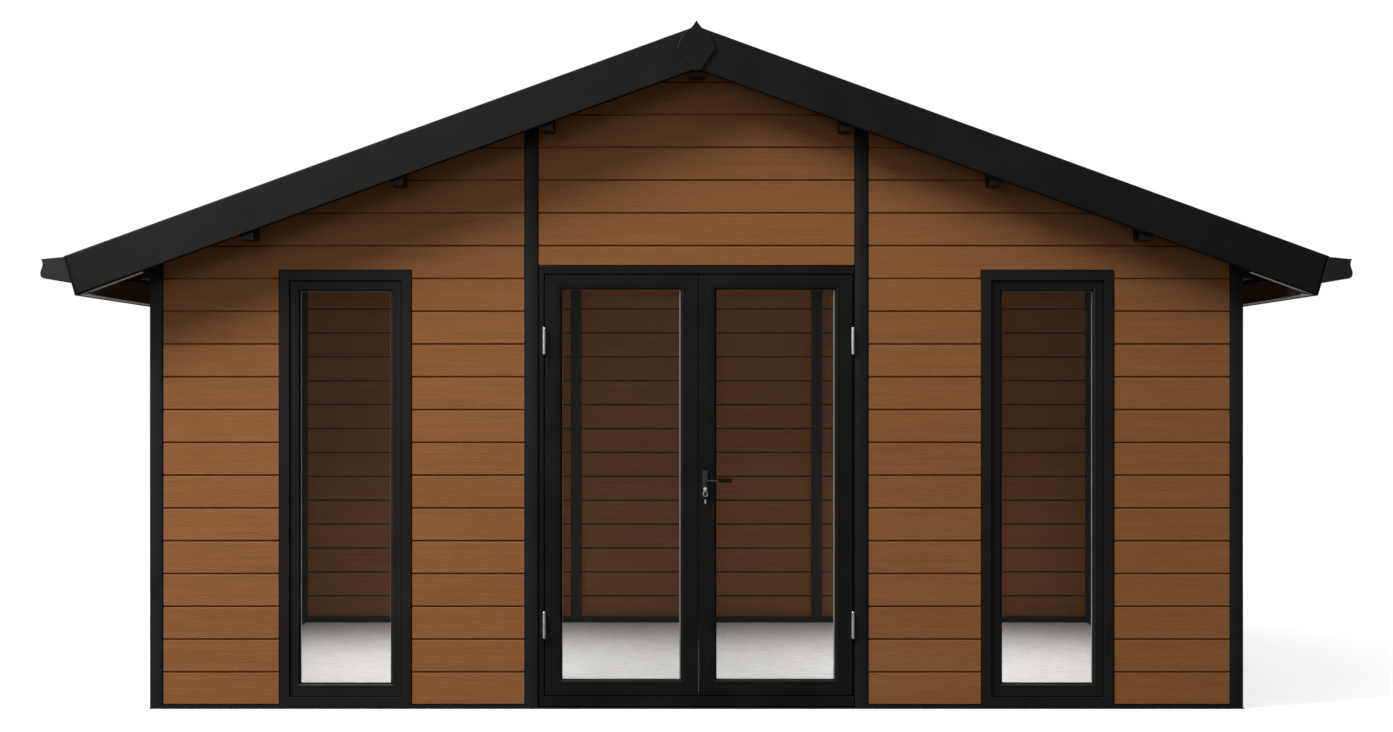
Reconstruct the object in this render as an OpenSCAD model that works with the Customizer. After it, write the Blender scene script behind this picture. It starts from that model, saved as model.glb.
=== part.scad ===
// Garden office pod: a single-storey timber-effect cabin with a low gable roof.
// Boards slot between aluminium posts, a pair of glazed doors opens outwards in
// the middle of the front gable, and a tall fixed window stands on either side.
// X runs across the front, Y runs into the building and Z is up. The origin is
// on the ground in the middle of the footprint.

/* [Footprint] */
// Width across the outside of the corner posts
building_w = 5000; // [4400:50:6200]
// Depth from the front faces to the back faces of the posts
building_d = 4000; // [2800:50:5200]
// Side of the square posts
post_s = 58; // [46:1:72]
// Height of the foot flange that runs round the ground line
flange_h = 4; // [2:1:7]
// Distance that the foot flange stands out beyond the posts
flange_out = 6; // [2:1:12]
// Thickness of the floor sheet
floor_t = 4; // [3:1:16]

/* [Walls] */
// Thickness of the wall boards
board_t = 22; // [16:1:32]
// Distance of the boards behind the outer faces of the posts
board_recess = 3; // [0:1:8]
// Height of the lowest board's lower edge
board_z = 18; // [12:1:28]
// Height of the side walls' upper edge
side_wall_z = 1968; // [1900:1:2400]
// Height of the base rail's inner lip
rail_lip_z = 42; // [32:1:60]
// Height of the base rail under the doors and windows
sill_z = 8; // [5:1:11]
// Number of bays between posts in each side wall
side_bays = 3; // [2:1:5]
// Play at each end of a run of boards, between its posts
board_play = 0.5; // [0.5:0.5:3]

/* [Roof] */
// Slope of the roof in degrees
roof_slope = 20; // [14:1:26]
// Height of the eaves beam at its outer face
eaves_beam_h = 127; // [100:1:180]
// Distance that the eaves beam stands out beyond the side posts
eaves_beam_out = 48; // [20:1:70]
// Thickness of the roof panels
roof_t = 60; // [40:1:100]
// Distance from the gable posts to the backs of the bargeboards
gable_overhang = 154; // [100:1:240]
// Distance from the side posts to the outer edge of the eaves
eaves_overhang = 348; // [280:1:450]
// Width of the six purlins
purlin_w = 60; // [40:1:80]
// Depth of the purlins and of the ridge beam below the roof panels
purlin_h = 148; // [110:1:180]
// Number of purlins under each slope
purlins_per_slope = 3; // [2:1:3]
// Distance between neighbouring purlins across the building
purlin_pitch = 676; // [640:1:684]
// Width of the ridge beam
ridge_beam_w = 72; // [50:1:100]
// Bedding gap round the roof panels, the ridge cap and the gutters
bed_gap = 0.2; // [0.1:0.1:0.5]

/* [Roof edges] */
// Thickness of the bargeboards
barge_t = 20; // [12:1:30]
// Depth of the bargeboards, square to the slope
barge_h = 184; // [165:1:220]
// Distance that the bargeboards stand above the roof panels
barge_rise = 10; // [6:1:25]
// Gap at the mitre between the two bargeboards of a gable
barge_joint = 2; // [1:1:4]
// Thickness of the eaves fascias
fascia_t = 20; // [12:1:30]
// Tilt of the eaves fascias from upright in degrees
fascia_tilt = 16; // [0:1:22]
// Thickness of the kite-shaped plates over the bargeboard mitres
ridge_plate_t = 8; // [4:1:12]
// Width of a ridge plate at its widest point
ridge_plate_w = 172; // [130:1:220]
// Width of a ridge plate where its point begins and at its foot
ridge_plate_neck = 44; // [30:1:60]
// Height of a ridge plate's tip above the bargeboards
ridge_plate_tip = 22; // [10:1:30]
// Distance of a ridge plate's foot below the bargeboards
ridge_plate_foot = 5; // [2:1:12]
// Reach of the folded ridge cap down each slope
ridge_cap_reach = 130; // [80:1:200]
// Thickness of the ridge cap
ridge_cap_t = 4; // [2:1:5]

/* [Gutters] */
// Outer width of a gutter at its lip
gutter_w = 104; // [80:1:130]
// Height of a gutter at its back
gutter_h = 104; // [90:1:120]
// Thickness of the gutter's walls
gutter_t = 3; // [2:1:4]
// Depth of the curve in the gutter's face
gutter_ogee = 5; // [2:1:8]
// Height of a gutter at its front, as a share of its height at the back
gutter_front = 0.83; // [0.7:0.01:0.9]

/* [Doors] */
// Clear width between the two door posts
door_bay = 1451; // [1300:1:1600]
// Height of the door frame's upper edge above the side walls
door_rise = 62; // [40:1:90]
// Width of one door leaf
leaf_w = 701; // [620:1:705]
// Thickness of a door leaf
leaf_t = 44; // [38:1:54]
// Distance that the pair of leaves is set off to the right
leaf_offset = 10; // [0:1:12]
// Gap round the leaves and between them
leaf_gap = 5; // [5:1:7]
// Width of a leaf's uprights
stile_w = 76; // [60:1:100]
// Height of a leaf's top and bottom rails
leaf_rail_h = 70; // [60:1:120]
// Set-back of the meeting edges at the inner face, so that either leaf can open
meeting_bevel = 3; // [3:1:6]
// Height of the frame's head
head_h = 40; // [30:1:60]
// Height of the threshold
threshold_h = 48; // [25:1:60]
// Distance of the door frame behind the posts' outer faces
door_recess = 5; // [2:1:12]
// Thickness of the frame's stop behind the leaves
stop_t = 6; // [4:1:10]
// Distance that the stop stands into the doorway
stop_in = 15; // [12:1:25]

/* [Windows] */
// Distance from the middle of the front to the middle of each window
window_x = 1606; // [1560:1:1640]
// Width of a window across its outer frame
window_w = 604; // [500:1:640]
// Height of the windows' upper edge above the side walls
window_rise = 37; // [10:1:60]
// Face width of the outer frame
window_frame_w = 45; // [30:1:60]
// Depth of the outer frame
window_frame_d = 60; // [56:1:80]
// Face width of the inner sash at its sides and top
sash_w = 46; // [34:1:60]
// Face height of the sash's bottom rail
sash_foot_h = 60; // [40:1:80]
// Depth of the sash
sash_d = 44; // [38:1:50]
// Distance of the sash behind the face of the outer frame
sash_recess = 10; // [4:1:12]

/* [Glass] */
// Thickness of the sealed double panes
pane_t = 24; // [16:1:28]
// Depth of the groove that holds a pane
pane_groove = 12; // [8:1:16]
// Clearance between a pane's edge and the bottom of its groove
pane_clear = 2; // [1:1:4]

/* [Hinges] */
// Diameter of a hinge barrel
barrel_d = 14; // [12:1:18]
// Diameter of a hinge pin
pin_d = 8; // [6:1:9]
// Radial clearance between a hinge pin and the knuckle that turns on it
pin_clear = 0.1; // [0.05:0.05:0.1]
// Height of one of a hinge's three knuckles
knuckle_h = 39; // [28:1:45]
// Gap between neighbouring knuckles
knuckle_gap = 1; // [1:1:2]
// Distance of the hinge axis in front of the leaves
hinge_out = 10; // [10:1:14]
// Height of the lower hinge's middle above the foot of the leaf
hinge_low = 322; // [200:1:400]
// Distance of the upper hinge's middle below the top of the leaf
hinge_high = 303; // [200:1:400]

/* [Handle] */
// Height of the lever's spindle above the ground
lever_z = 1044; // [950:1:1100]
// Distance of the handle from the meeting edge of the leaf
handle_inset = 28; // [26:1:32]
// Length of the lever from its spindle to its tip
lever_l = 122; // [90:1:140]
// Height of the lever's arm
lever_arm_h = 14; // [10:1:18]
// Thickness of the lever's arm
lever_arm_t = 10; // [8:1:14]
// Diameter of the lever's neck
lever_neck_d = 16; // [12:1:20]
// Distance from the leaf to the outer face of the lever
lever_out = 54; // [48:1:65]
// Diameter of the spindle
spindle_d = 8; // [6:1:10]
// Radial clearance round the spindle
spindle_clear = 1; // [0.5:0.5:2]
// Width of a handle plate
plate_w = 24; // [22:1:30]
// Height of a handle plate
plate_h = 124; // [110:1:160]
// Thickness of a handle plate
plate_t = 8; // [5:1:10]
// Distance from the spindle up to the top of the plate
plate_up = 45; // [30:1:55]
// Distance from the spindle down to the lock cylinder
lock_drop = 40; // [34:1:60]
// Diameter of the lock cylinder
lock_d = 17; // [14:1:20]
// Diameter of the key's bow
key_bow_d = 22; // [18:1:26]
// Thickness of the keys
key_t = 2.4; // [2:0.2:3]
// Diameter of the key ring across its middle
key_ring_d = 22; // [18:1:26]

/* [Hidden] */

$fn = 48;
// overshoot of a cutting shape beyond what it cuts
cut = 5;

// outer and inner faces of the posts, from the middle of the building
half_w = building_w / 2;
half_d = building_d / 2;
post_in_x = half_w - post_s;
post_in_y = half_d - post_s;
// outer and inner faces of the boards on the sides and on the gables
board_out_x = half_w - board_recess;
board_in_x = board_out_x - board_t;
board_out_y = half_d - board_recess;
board_in_y = board_out_y - board_t;
// door posts
door_post_in = door_bay / 2;
door_post_out = door_post_in + post_s;
// openings of the windows
window_in = window_x - window_w / 2;
window_out = window_x + window_w / 2;
window_top = side_wall_z + window_rise;

// heights at the middle of the building of the lines that follow the slope
slope_rise = tan(roof_slope);
under_apex = side_wall_z + eaves_beam_h + slope_rise * (half_w + eaves_beam_out);
roof_apex = under_apex + roof_t / cos(roof_slope);
barge_apex = roof_apex + barge_rise / cos(roof_slope);
barge_foot_apex = barge_apex - barge_h / cos(roof_slope);
// outer edge of the roof, at the top of the bargeboards
eave_x = half_w + eaves_overhang;
eave_z = barge_apex - slope_rise * eave_x;
tilt_run = tan(fascia_tilt);
fascia_run = fascia_t / cos(fascia_tilt);
// planes of the gable ends
barge_back = half_d + gable_overhang;
barge_front = barge_back + barge_t;

// door frame and leaves
frame_y = -half_d + door_recess;
frame_back_y = frame_y + leaf_t + leaf_gap + stop_t;
frame_top = side_wall_z + door_rise;
leaf_z0 = sill_z + threshold_h + leaf_gap;
leaf_z1 = frame_top - head_h - leaf_gap;
leaf_back_y = frame_y + leaf_t;
// the floor stops behind whichever of the posts and frames reaches deepest
floor_front_y = max(-post_in_y, frame_back_y, -half_d + window_frame_d);
meeting_x = leaf_offset;
// half of the gap stays on either side of every meeting or hinge line
half_gap = leaf_gap / 2;
// hinge lines of the left and right leaves
hinge_left_x = meeting_x - leaf_gap - leaf_w;
hinge_right_x = meeting_x + leaf_gap + leaf_w;
hinge_y = frame_y - hinge_out;
hinge_h = 3 * knuckle_h + 2 * knuckle_gap;
hinge_feet = [leaf_z0 + hinge_low - hinge_h / 2, leaf_z1 - hinge_high - hinge_h / 2];

// handle
handle_x = meeting_x + half_gap + handle_inset;
lock_z = lever_z - lock_drop;
plate_z1 = lever_z + plate_up;
plate_z0 = plate_z1 - plate_h;
// gap between the handle plate and the neck of the lever
neck_gap = 1;
// distance that the lock cylinder stands out of the handle plates
lock_proud = 4;
// distance from the lock cylinder to the middle of the key's bow
key_reach = 23;
// height of the key's shank, and the width and length of the spare key's blade
key_shank = 8;
spare_blade = 6;
spare_reach = 27;
// overlap of the ring with the bow of a key
ring_bite = 2;

// ridge plate: distance of its shoulder below the bargeboards' tip, and the height of
// its widest point as a share of the bargeboards' depth
plate_shoulder = 9;
plate_belly = 0.55;

// gutter: distance of its lip below the roof's surface, and the toe below its front
lip_drop = 2;
toe_run = 12;
toe_rise = 3;
toe_dip = 2;
// points along the curve of its face, and where the curve turns from hollow to round
ogee_steps = 16;
ogee_turn = 0.45;

// colours
board_brown = [0.50, 0.31, 0.18];
frame_black = [0.10, 0.105, 0.105];
panel_black = [0.14, 0.145, 0.145];
floor_grey = [0.78, 0.78, 0.77];
glass_tint = [0.75, 0.85, 0.85, 0.35];
hinge_grey = [0.62, 0.63, 0.64];
steel = [0.75, 0.75, 0.74];

// height of a slope line at the distance x from the middle
function slope_z(apex, x) = apex - slope_rise * abs(x);
// distance from the middle at which a slope line meets the fascia's outer face, or its inner face
function eave_meet(apex, inset = 0) =
    (eave_x - inset - tilt_run * (eave_z - apex)) / (1 + tilt_run * slope_rise);
// distance from the middle of the fascia's outer face at the height z
function fascia_x(z) = eave_x - tilt_run * (eave_z - z);

module block(x, y, z)
    translate([x[0], y[0], z[0]]) cube([x[1] - x[0], y[1] - y[0], z[1] - z[0]]);

// an outline in X and Z, extruded from y[0] to y[1]
module along_y(y)
    translate([0, y[1], 0]) rotate([90, 0, 0]) linear_extrude(height = y[1] - y[0]) children();

module both_sides() {
    children();
    mirror([1, 0, 0]) children();
}

module both_ends() {
    children();
    mirror([0, 1, 0]) children();
}

// an upright on one side of the middle whose head follows the underside of the roof, or
// stands above it by the height over, as a cutting shape does
module upright(x, y, z0, over = 0)
    along_y(y) polygon([[x[0], z0], [x[1], z0], [x[1], slope_z(under_apex + over, x[1])],
                        [x[0], slope_z(under_apex + over, x[0])]]);

// a wall across the middle whose head follows both slopes
module middle_wall(x, y, z0)
    along_y(y) polygon([[-x, z0], [x, z0], [x, slope_z(under_apex, x)],
                        [0, under_apex], [-x, slope_z(under_apex, x)]]);

// ---------- base ----------

module floor_panel()
    color(floor_grey)
        block([-post_in_x, post_in_x], [floor_front_y, post_in_y], [0, floor_t]);

// rail along one gable at negative Y: body, foot flange and inner lip
module gable_rail() {
    block([-post_in_x, post_in_x], [-half_d, -post_in_y], [0, board_z]);
    block([-post_in_x, post_in_x], [-half_d - flange_out, -half_d], [0, flange_h]);
    block([-post_in_x, post_in_x], [-board_in_y, -post_in_y], [0, rail_lip_z]);
}

module base_rail_front()
    color(frame_black) difference() {
        gable_rail();
        both_sides() block([window_in, window_out], [-half_d - cut, -post_in_y + cut],
                           [sill_z, rail_lip_z + cut]);
        block([-door_post_out, door_post_out], [-half_d - cut, -post_in_y + cut],
              [sill_z, rail_lip_z + cut]);
    }

module base_rail_back()
    color(frame_black) mirror([0, 1, 0]) difference() {
        gable_rail();
        both_sides() block([door_post_in, door_post_out], [-half_d - cut, -post_in_y + cut],
                           [board_z, rail_lip_z + cut]);
    }

module base_rails_side()
    color(frame_black) both_sides() difference() {
        union() {
            block([post_in_x, half_w], [-post_in_y, post_in_y], [0, board_z]);
            block([half_w, half_w + flange_out], [-post_in_y, post_in_y], [0, flange_h]);
            block([post_in_x, board_in_x], [-post_in_y, post_in_y], [0, rail_lip_z]);
        }
        for (y = side_post_places())
            block([post_in_x - cut, half_w + cut], [y, y + post_s], [board_z, rail_lip_z + cut]);
    }

// ---------- posts ----------

// near faces of the posts between the corners of a side wall
function side_post_places() =
    let (bay = (2 * post_in_y - (side_bays - 1) * post_s) / side_bays)
    [for (i = [1 : side_bays - 1]) -post_in_y + i * bay + (i - 1) * post_s];

module corner_pair()
    both_sides() {
        upright([post_in_x, half_w], [-half_d, -post_in_y], 0);
        block([post_in_x, half_w + flange_out], [-half_d - flange_out, -post_in_y], [0, flange_h]);
    }

module corner_posts_front() color(frame_black) corner_pair();

module corner_posts_back() color(frame_black) mirror([0, 1, 0]) corner_pair();

module door_posts()
    color(frame_black) both_sides()
        upright([door_post_in, door_post_out], [-half_d, -post_in_y], sill_z);

module back_posts()
    color(frame_black) both_sides()
        upright([door_post_in, door_post_out], [post_in_y, half_d], board_z);

module side_posts()
    color(frame_black) both_sides()
        for (y = side_post_places())
            block([post_in_x, half_w], [y, y + post_s], [board_z, side_wall_z]);

// ---------- walls ----------

module front_wall_half() {
    block([door_post_out + board_play, window_in], [-board_out_y, -board_in_y],
          [board_z, window_top]);
    block([window_out, post_in_x - board_play], [-board_out_y, -board_in_y],
          [board_z, window_top]);
}

module front_wall_left() color(board_brown) mirror([1, 0, 0]) front_wall_half();

module front_wall_right() color(board_brown) front_wall_half();

module front_gable_half()
    difference() {
        upright([door_post_out + board_play, post_in_x - board_play],
                [-board_out_y, -board_in_y], window_top);
        purlin_set(cut);
    }

module front_gable_left() color(board_brown) mirror([1, 0, 0]) front_gable_half();

module front_gable_right() color(board_brown) front_gable_half();

module front_gable_middle()
    color(board_brown) difference() {
        middle_wall(door_post_in - board_play, [-board_out_y, -board_in_y], frame_top);
        both_sides() purlin_set(cut);
        ridge_bar(cut);
    }

module back_wall()
    color(board_brown) difference() {
        union() {
            both_sides() upright([door_post_out + board_play, post_in_x - board_play],
                                 [board_in_y, board_out_y], board_z);
            middle_wall(door_post_in - board_play, [board_in_y, board_out_y], board_z);
        }
        both_sides() purlin_set(cut);
        ridge_bar(cut);
    }

// the boards of one side wall, one panel in each bay
module side_wall() {
    starts = concat([-post_in_y], [for (y = side_post_places()) y + post_s]);
    ends = concat(side_post_places(), [post_in_y]);
    for (i = [0 : side_bays - 1])
        block([board_in_x, board_out_x], [starts[i] + board_play, ends[i] - board_play],
              [board_z, side_wall_z]);
}

module left_wall() color(board_brown) mirror([1, 0, 0]) side_wall();

module right_wall() color(board_brown) side_wall();

// ---------- roof frame ----------

module eaves_beams()
    color(frame_black) both_sides() difference() {
        upright([post_in_x, half_w + eaves_beam_out], [-half_d, half_d], side_wall_z);
        both_ends() block([post_in_x - cut, half_w], [-half_d - cut, -post_in_y],
                          [side_wall_z - cut, under_apex]);
    }

module ridge_bar(over = 0) {
    half = ridge_beam_w / 2;
    foot = under_apex - purlin_h;
    along_y([-barge_back, barge_back])
        polygon([[-half, foot], [half, foot], [half, slope_z(under_apex + over, half)],
                 [0, under_apex + over], [-half, slope_z(under_apex + over, half)]]);
}

module ridge_beam() color(frame_black) ridge_bar();

// the purlins of the right-hand slope
module purlin_set(over = 0)
    for (i = [1 : purlins_per_slope]) {
        x = i * purlin_pitch;
        upright([x - purlin_w / 2, x + purlin_w / 2], [-barge_back, barge_back],
                slope_z(under_apex, x) - purlin_h, over);
    }

module purlins() color(frame_black) both_sides() purlin_set();

// ---------- roof ----------

module roof_half() {
    bed = under_apex + bed_gap;
    foot = eave_meet(bed, fascia_run + bed_gap);
    top = eave_meet(roof_apex, fascia_run + bed_gap);
    along_y([-barge_back, barge_back])
        polygon([[0, bed], [foot, slope_z(bed, foot)],
                 [top, slope_z(roof_apex, top)], [0, roof_apex]]);
}

module roof_panel_left() color(panel_black) mirror([1, 0, 0]) roof_half();

module roof_panel_right() color(panel_black) roof_half();

module ridge_cap()
    color(frame_black) along_y([-barge_back, barge_back]) {
        edge = ridge_cap_reach * cos(roof_slope);
        foot = roof_apex + bed_gap;
        head = foot + ridge_cap_t / cos(roof_slope);
        polygon([[0, foot], [edge, slope_z(foot, edge)], [edge, slope_z(head, edge)],
                 [0, head], [-edge, slope_z(head, edge)], [-edge, slope_z(foot, edge)]]);
    }

// the two bargeboards of the gable at negative Y, with a mitre at the ridge
module barge_pair() {
    foot = eave_meet(barge_foot_apex);
    start = barge_joint / 2;
    both_sides() along_y([-barge_front, -barge_back])
        polygon([[start, slope_z(barge_foot_apex, start)], [foot, slope_z(barge_foot_apex, foot)],
                 [eave_x, eave_z], [start, slope_z(barge_apex, start)]]);
}

module bargeboards_front() color(panel_black) barge_pair();

module bargeboards_back() color(panel_black) mirror([0, 1, 0]) barge_pair();

module ridge_plates() {
    neck = ridge_plate_neck / 2;
    wide = ridge_plate_w / 2;
    tip = barge_apex + ridge_plate_tip;
    shoulder = barge_apex - plate_shoulder;
    belly = barge_apex - barge_h * plate_belly;
    foot = barge_foot_apex - ridge_plate_foot;
    color(frame_black) both_ends() along_y([-barge_front - ridge_plate_t, -barge_front])
        polygon([[0, tip], [-neck, shoulder], [-wide, belly], [-neck, foot],
                 [neck, foot], [wide, belly], [neck, shoulder]]);
}

module eaves_fascias() {
    // from the underside of the roof panels down to the foot of the bargeboards
    foot_out = eave_meet(barge_foot_apex);
    foot_in = eave_meet(barge_foot_apex, fascia_run);
    top_out = eave_meet(roof_apex);
    top_in = eave_meet(roof_apex, fascia_run);
    color(panel_black) both_sides() along_y([-barge_back, barge_back])
        polygon([[foot_in, slope_z(barge_foot_apex, foot_in)], [foot_out, slope_z(barge_foot_apex, foot_out)],
                 [top_out, slope_z(roof_apex, top_out)], [top_in, slope_z(roof_apex, top_in)]]);
}

// ---------- gutters ----------

// the gutter's outline, drawn in by the thickness t
function gutter_outline(t) =
    let (top = slope_z(roof_apex, eave_x) - lip_drop,
         back = top - gutter_h + t,
         face = fascia_x(top) + gutter_w - t,
         // the sole falls towards the building, and a toe joins it to the face
         sole = top - gutter_h * gutter_front + t,
         toe = sole + toe_rise)
    concat([[fascia_x(top) + bed_gap + t, top], [fascia_x(back) + bed_gap + t, back],
            [face - toe_run, sole - toe_dip], [face - toe_rise, toe]],
           [for (i = [1 : ogee_steps])
               let (s = i / ogee_steps,
                    bow = s < ogee_turn ? sin(180 * s / ogee_turn)
                                        : -sin(180 * (s - ogee_turn) / (1 - ogee_turn)))
               [face + gutter_ogee * bow, toe + (top - toe) * s]]);

module gutter()
    difference() {
        along_y([-barge_front + gutter_t, barge_front - gutter_t]) polygon(gutter_outline(0));
        along_y([-barge_front + 2 * gutter_t, barge_front - 2 * gutter_t])
            polygon(gutter_outline(gutter_t));
    }

module gutter_left() color(frame_black) mirror([1, 0, 0]) gutter();

module gutter_right() color(frame_black) gutter();

// ---------- windows ----------

// a glazed frame: a ring with a groove for its pane
module glazed_ring(x, y, z, side, head, foot) {
    mid = (y[0] + y[1]) / 2;
    difference() {
        block(x, y, z);
        block([x[0] + side, x[1] - side], [y[0] - cut, y[1] + cut], [z[0] + foot, z[1] - head]);
        block([x[0] + side - pane_groove, x[1] - side + pane_groove],
              [mid - pane_t / 2, mid + pane_t / 2],
              [z[0] + foot - pane_groove, z[1] - head + pane_groove]);
    }
}

// the pane that fits such a ring
module pane(x, y, z, side, head, foot) {
    mid = (y[0] + y[1]) / 2;
    hold = pane_groove - pane_clear;
    block([x[0] + side - hold, x[1] - side + hold], [mid - pane_t / 2, mid + pane_t / 2],
          [z[0] + foot - hold, z[1] - head + hold]);
}

sash_x = [window_in + window_frame_w, window_out - window_frame_w];
sash_y = [-half_d + sash_recess, -half_d + sash_recess + sash_d];
sash_z = [sill_z + window_frame_w, window_top - window_frame_w];

module window_frame()
    difference() {
        block([window_in, window_out], [-half_d, -half_d + window_frame_d], [sill_z, window_top]);
        block(sash_x, [-half_d - cut, -half_d + window_frame_d + cut], sash_z);
    }

module window_frame_left() color(frame_black) mirror([1, 0, 0]) window_frame();

module window_frame_right() color(frame_black) window_frame();

module window_sashes()
    color(frame_black) both_sides() glazed_ring(sash_x, sash_y, sash_z, sash_w, sash_w, sash_foot_h);

module window_glass()
    color(glass_tint) both_sides() pane(sash_x, sash_y, sash_z, sash_w, sash_w, sash_foot_h);

// ---------- doors ----------

module door_frame() {
    opening_x = [hinge_left_x - half_gap, hinge_right_x + half_gap];
    opening_z = [leaf_z0 - leaf_gap, leaf_z1 + leaf_gap];
    color(frame_black) difference() {
        block([-door_post_in, door_post_in], [frame_y, frame_back_y], [sill_z, frame_top]);
        block(opening_x, [frame_y - cut, frame_back_y - stop_t], opening_z);
        block([opening_x[0] + stop_in, opening_x[1] - stop_in], [frame_y - cut, frame_back_y + cut],
              [opening_z[0] + stop_in, opening_z[1] - stop_in]);
    }
}

leaf_left_x = [hinge_left_x + half_gap, meeting_x - half_gap];
leaf_right_x = [meeting_x + half_gap, hinge_right_x - half_gap];
leaf_y = [frame_y, leaf_back_y];
leaf_z = [leaf_z0, leaf_z1];

// a wedge that sets a leaf's meeting edge back towards its inner face
module meeting_wedge(x, side)
    translate([0, 0, leaf_z0 - cut]) linear_extrude(height = leaf_z1 - leaf_z0 + 2 * cut)
        polygon([[x, leaf_y[0]], [x + side * cut, leaf_y[0]],
                 [x + side * cut, leaf_y[1] + 1], [x - side * meeting_bevel, leaf_y[1] + 1],
                 [x - side * meeting_bevel, leaf_y[1]]]);

module door_leaf_left()
    color(frame_black) difference() {
        glazed_ring(leaf_left_x, leaf_y, leaf_z, stile_w, leaf_rail_h, leaf_rail_h);
        meeting_wedge(leaf_left_x[1], 1);
    }

module door_glass_left()
    color(glass_tint) pane(leaf_left_x, leaf_y, leaf_z, stile_w, leaf_rail_h, leaf_rail_h);

// a cylinder along Y through the leaf and its handle plates
module through_bore(z, r)
    translate([handle_x, leaf_back_y + plate_t + cut, z]) rotate([90, 0, 0])
        cylinder(r = r, h = leaf_t + 2 * plate_t + 2 * cut);

module door_leaf_right()
    color(frame_black) difference() {
        glazed_ring(leaf_right_x, leaf_y, leaf_z, stile_w, leaf_rail_h, leaf_rail_h);
        meeting_wedge(leaf_right_x[0], -1);
        through_bore(lever_z, spindle_d / 2 + spindle_clear);
        through_bore(lock_z, lock_d / 2);
    }

module door_glass_right()
    color(glass_tint) pane(leaf_right_x, leaf_y, leaf_z, stile_w, leaf_rail_h, leaf_rail_h);

// ---------- hinges ----------

// a knuckle with a web back to the face it is fixed to; side is -1 for the left of the axis
module knuckle(x, z, side) {
    r = barrel_d / 2;
    translate([x, hinge_y, z]) cylinder(r = r, h = knuckle_h);
    block(side < 0 ? [x - r, x - half_gap] : [x + half_gap, x + r], [hinge_y, frame_y],
          [z, z + knuckle_h]);
}

// the fixed half of a hinge: outer knuckles and pin
module fixed_hinge(x, z, side) {
    knuckle(x, z, side);
    knuckle(x, z + 2 * (knuckle_h + knuckle_gap), side);
    translate([x, hinge_y, z]) cylinder(d = pin_d, h = hinge_h);
}

// the moving half: the middle knuckle, which turns on the pin
module moving_knuckle(x, z, side)
    difference() {
        knuckle(x, z + knuckle_h + knuckle_gap, side);
        translate([x, hinge_y, z - cut])
            cylinder(r = pin_d / 2 + pin_clear, h = hinge_h + 2 * cut);
    }

module door_hinges()
    color(hinge_grey) for (z = hinge_feet) {
        fixed_hinge(hinge_left_x, z, -1);
        fixed_hinge(hinge_right_x, z, 1);
    }

module door_knuckles_left() color(hinge_grey) for (z = hinge_feet) moving_knuckle(hinge_left_x, z, 1);

module door_knuckles_right() color(hinge_grey) for (z = hinge_feet) moving_knuckle(hinge_right_x, z, -1);

// ---------- handle ----------

module handle_plates()
    color(frame_black) difference() {
        for (y = [frame_y - plate_t, leaf_back_y])
            block([handle_x - plate_w / 2, handle_x + plate_w / 2], [y, y + plate_t],
                  [plate_z0, plate_z1]);
        through_bore(lever_z, spindle_d / 2 + spindle_clear);
        through_bore(lock_z, lock_d / 2);
    }

module lock_cylinder()
    color(steel) translate([handle_x, leaf_back_y + plate_t + lock_proud, lock_z]) rotate([90, 0, 0])
        cylinder(d = lock_d, h = leaf_t + 2 * (plate_t + lock_proud));

module door_key() {
    front = frame_y - plate_t - lock_proud;
    bow_y = front - key_reach;
    spare_bow_d = key_bow_d - 4;
    ring_z = lock_z - key_bow_d / 2 - key_ring_d / 2 + ring_bite;
    spare_z = ring_z - key_ring_d / 2 - key_bow_d / 2 + 2 * ring_bite;
    color(steel) {
        // the key in the lock, with its bow edge on to the front
        block([handle_x - key_t / 2, handle_x + key_t / 2], [bow_y, front],
              [lock_z - key_shank / 2, lock_z + key_shank / 2]);
        translate([handle_x - key_t / 2, bow_y, lock_z]) rotate([0, 90, 0])
            cylinder(d = key_bow_d, h = key_t);
        // the ring
        translate([handle_x, bow_y, ring_z]) rotate([90, 0, 0])
            rotate_extrude() translate([key_ring_d / 2, 0]) circle(d = key_t);
        // the spare key on the ring
        translate([handle_x, bow_y + key_t / 2, spare_z]) rotate([90, 0, 0])
            cylinder(d = spare_bow_d, h = key_t);
        block([handle_x - spare_blade / 2, handle_x + spare_blade / 2],
              [bow_y - key_t / 2, bow_y + key_t / 2], [spare_z - spare_reach, spare_z]);
    }
}

module door_lever() {
    outer = frame_y - lever_out;
    inner = leaf_back_y + lever_out;
    neck = lever_out - plate_t - neck_gap;
    color(frame_black) {
        translate([handle_x, inner, lever_z]) rotate([90, 0, 0]) cylinder(d = spindle_d, h = inner - outer);
        for (y = [inner, outer + neck])
            translate([handle_x, y, lever_z]) rotate([90, 0, 0]) cylinder(d = lever_neck_d, h = neck);
        for (y = [outer, inner - lever_arm_t]) {
            block([handle_x, handle_x + lever_l - lever_arm_h / 2], [y, y + lever_arm_t],
                  [lever_z - lever_arm_h / 2, lever_z + lever_arm_h / 2]);
            translate([handle_x + lever_l - lever_arm_h / 2, y + lever_arm_t, lever_z])
                rotate([90, 0, 0]) cylinder(d = lever_arm_h, h = lever_arm_t);
        }
    }
}

floor_panel();
base_rail_front();
base_rail_back();
base_rails_side();
corner_posts_front();
corner_posts_back();
door_posts();
back_posts();
side_posts();
front_wall_left();
front_wall_right();
front_gable_left();
front_gable_right();
front_gable_middle();
back_wall();
left_wall();
right_wall();
eaves_beams();
ridge_beam();
purlins();
roof_panel_left();
roof_panel_right();
ridge_cap();
ridge_plates();
bargeboards_front();
bargeboards_back();
eaves_fascias();
gutter_left();
gutter_right();
window_frame_left();
window_frame_right();
window_sashes();
window_glass();
door_frame();
door_hinges();
door_leaf_left();
door_glass_left();
door_knuckles_left();
door_leaf_right();
door_glass_right();
door_knuckles_right();
handle_plates();
lock_cylinder();
door_key();
door_lever();
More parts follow.
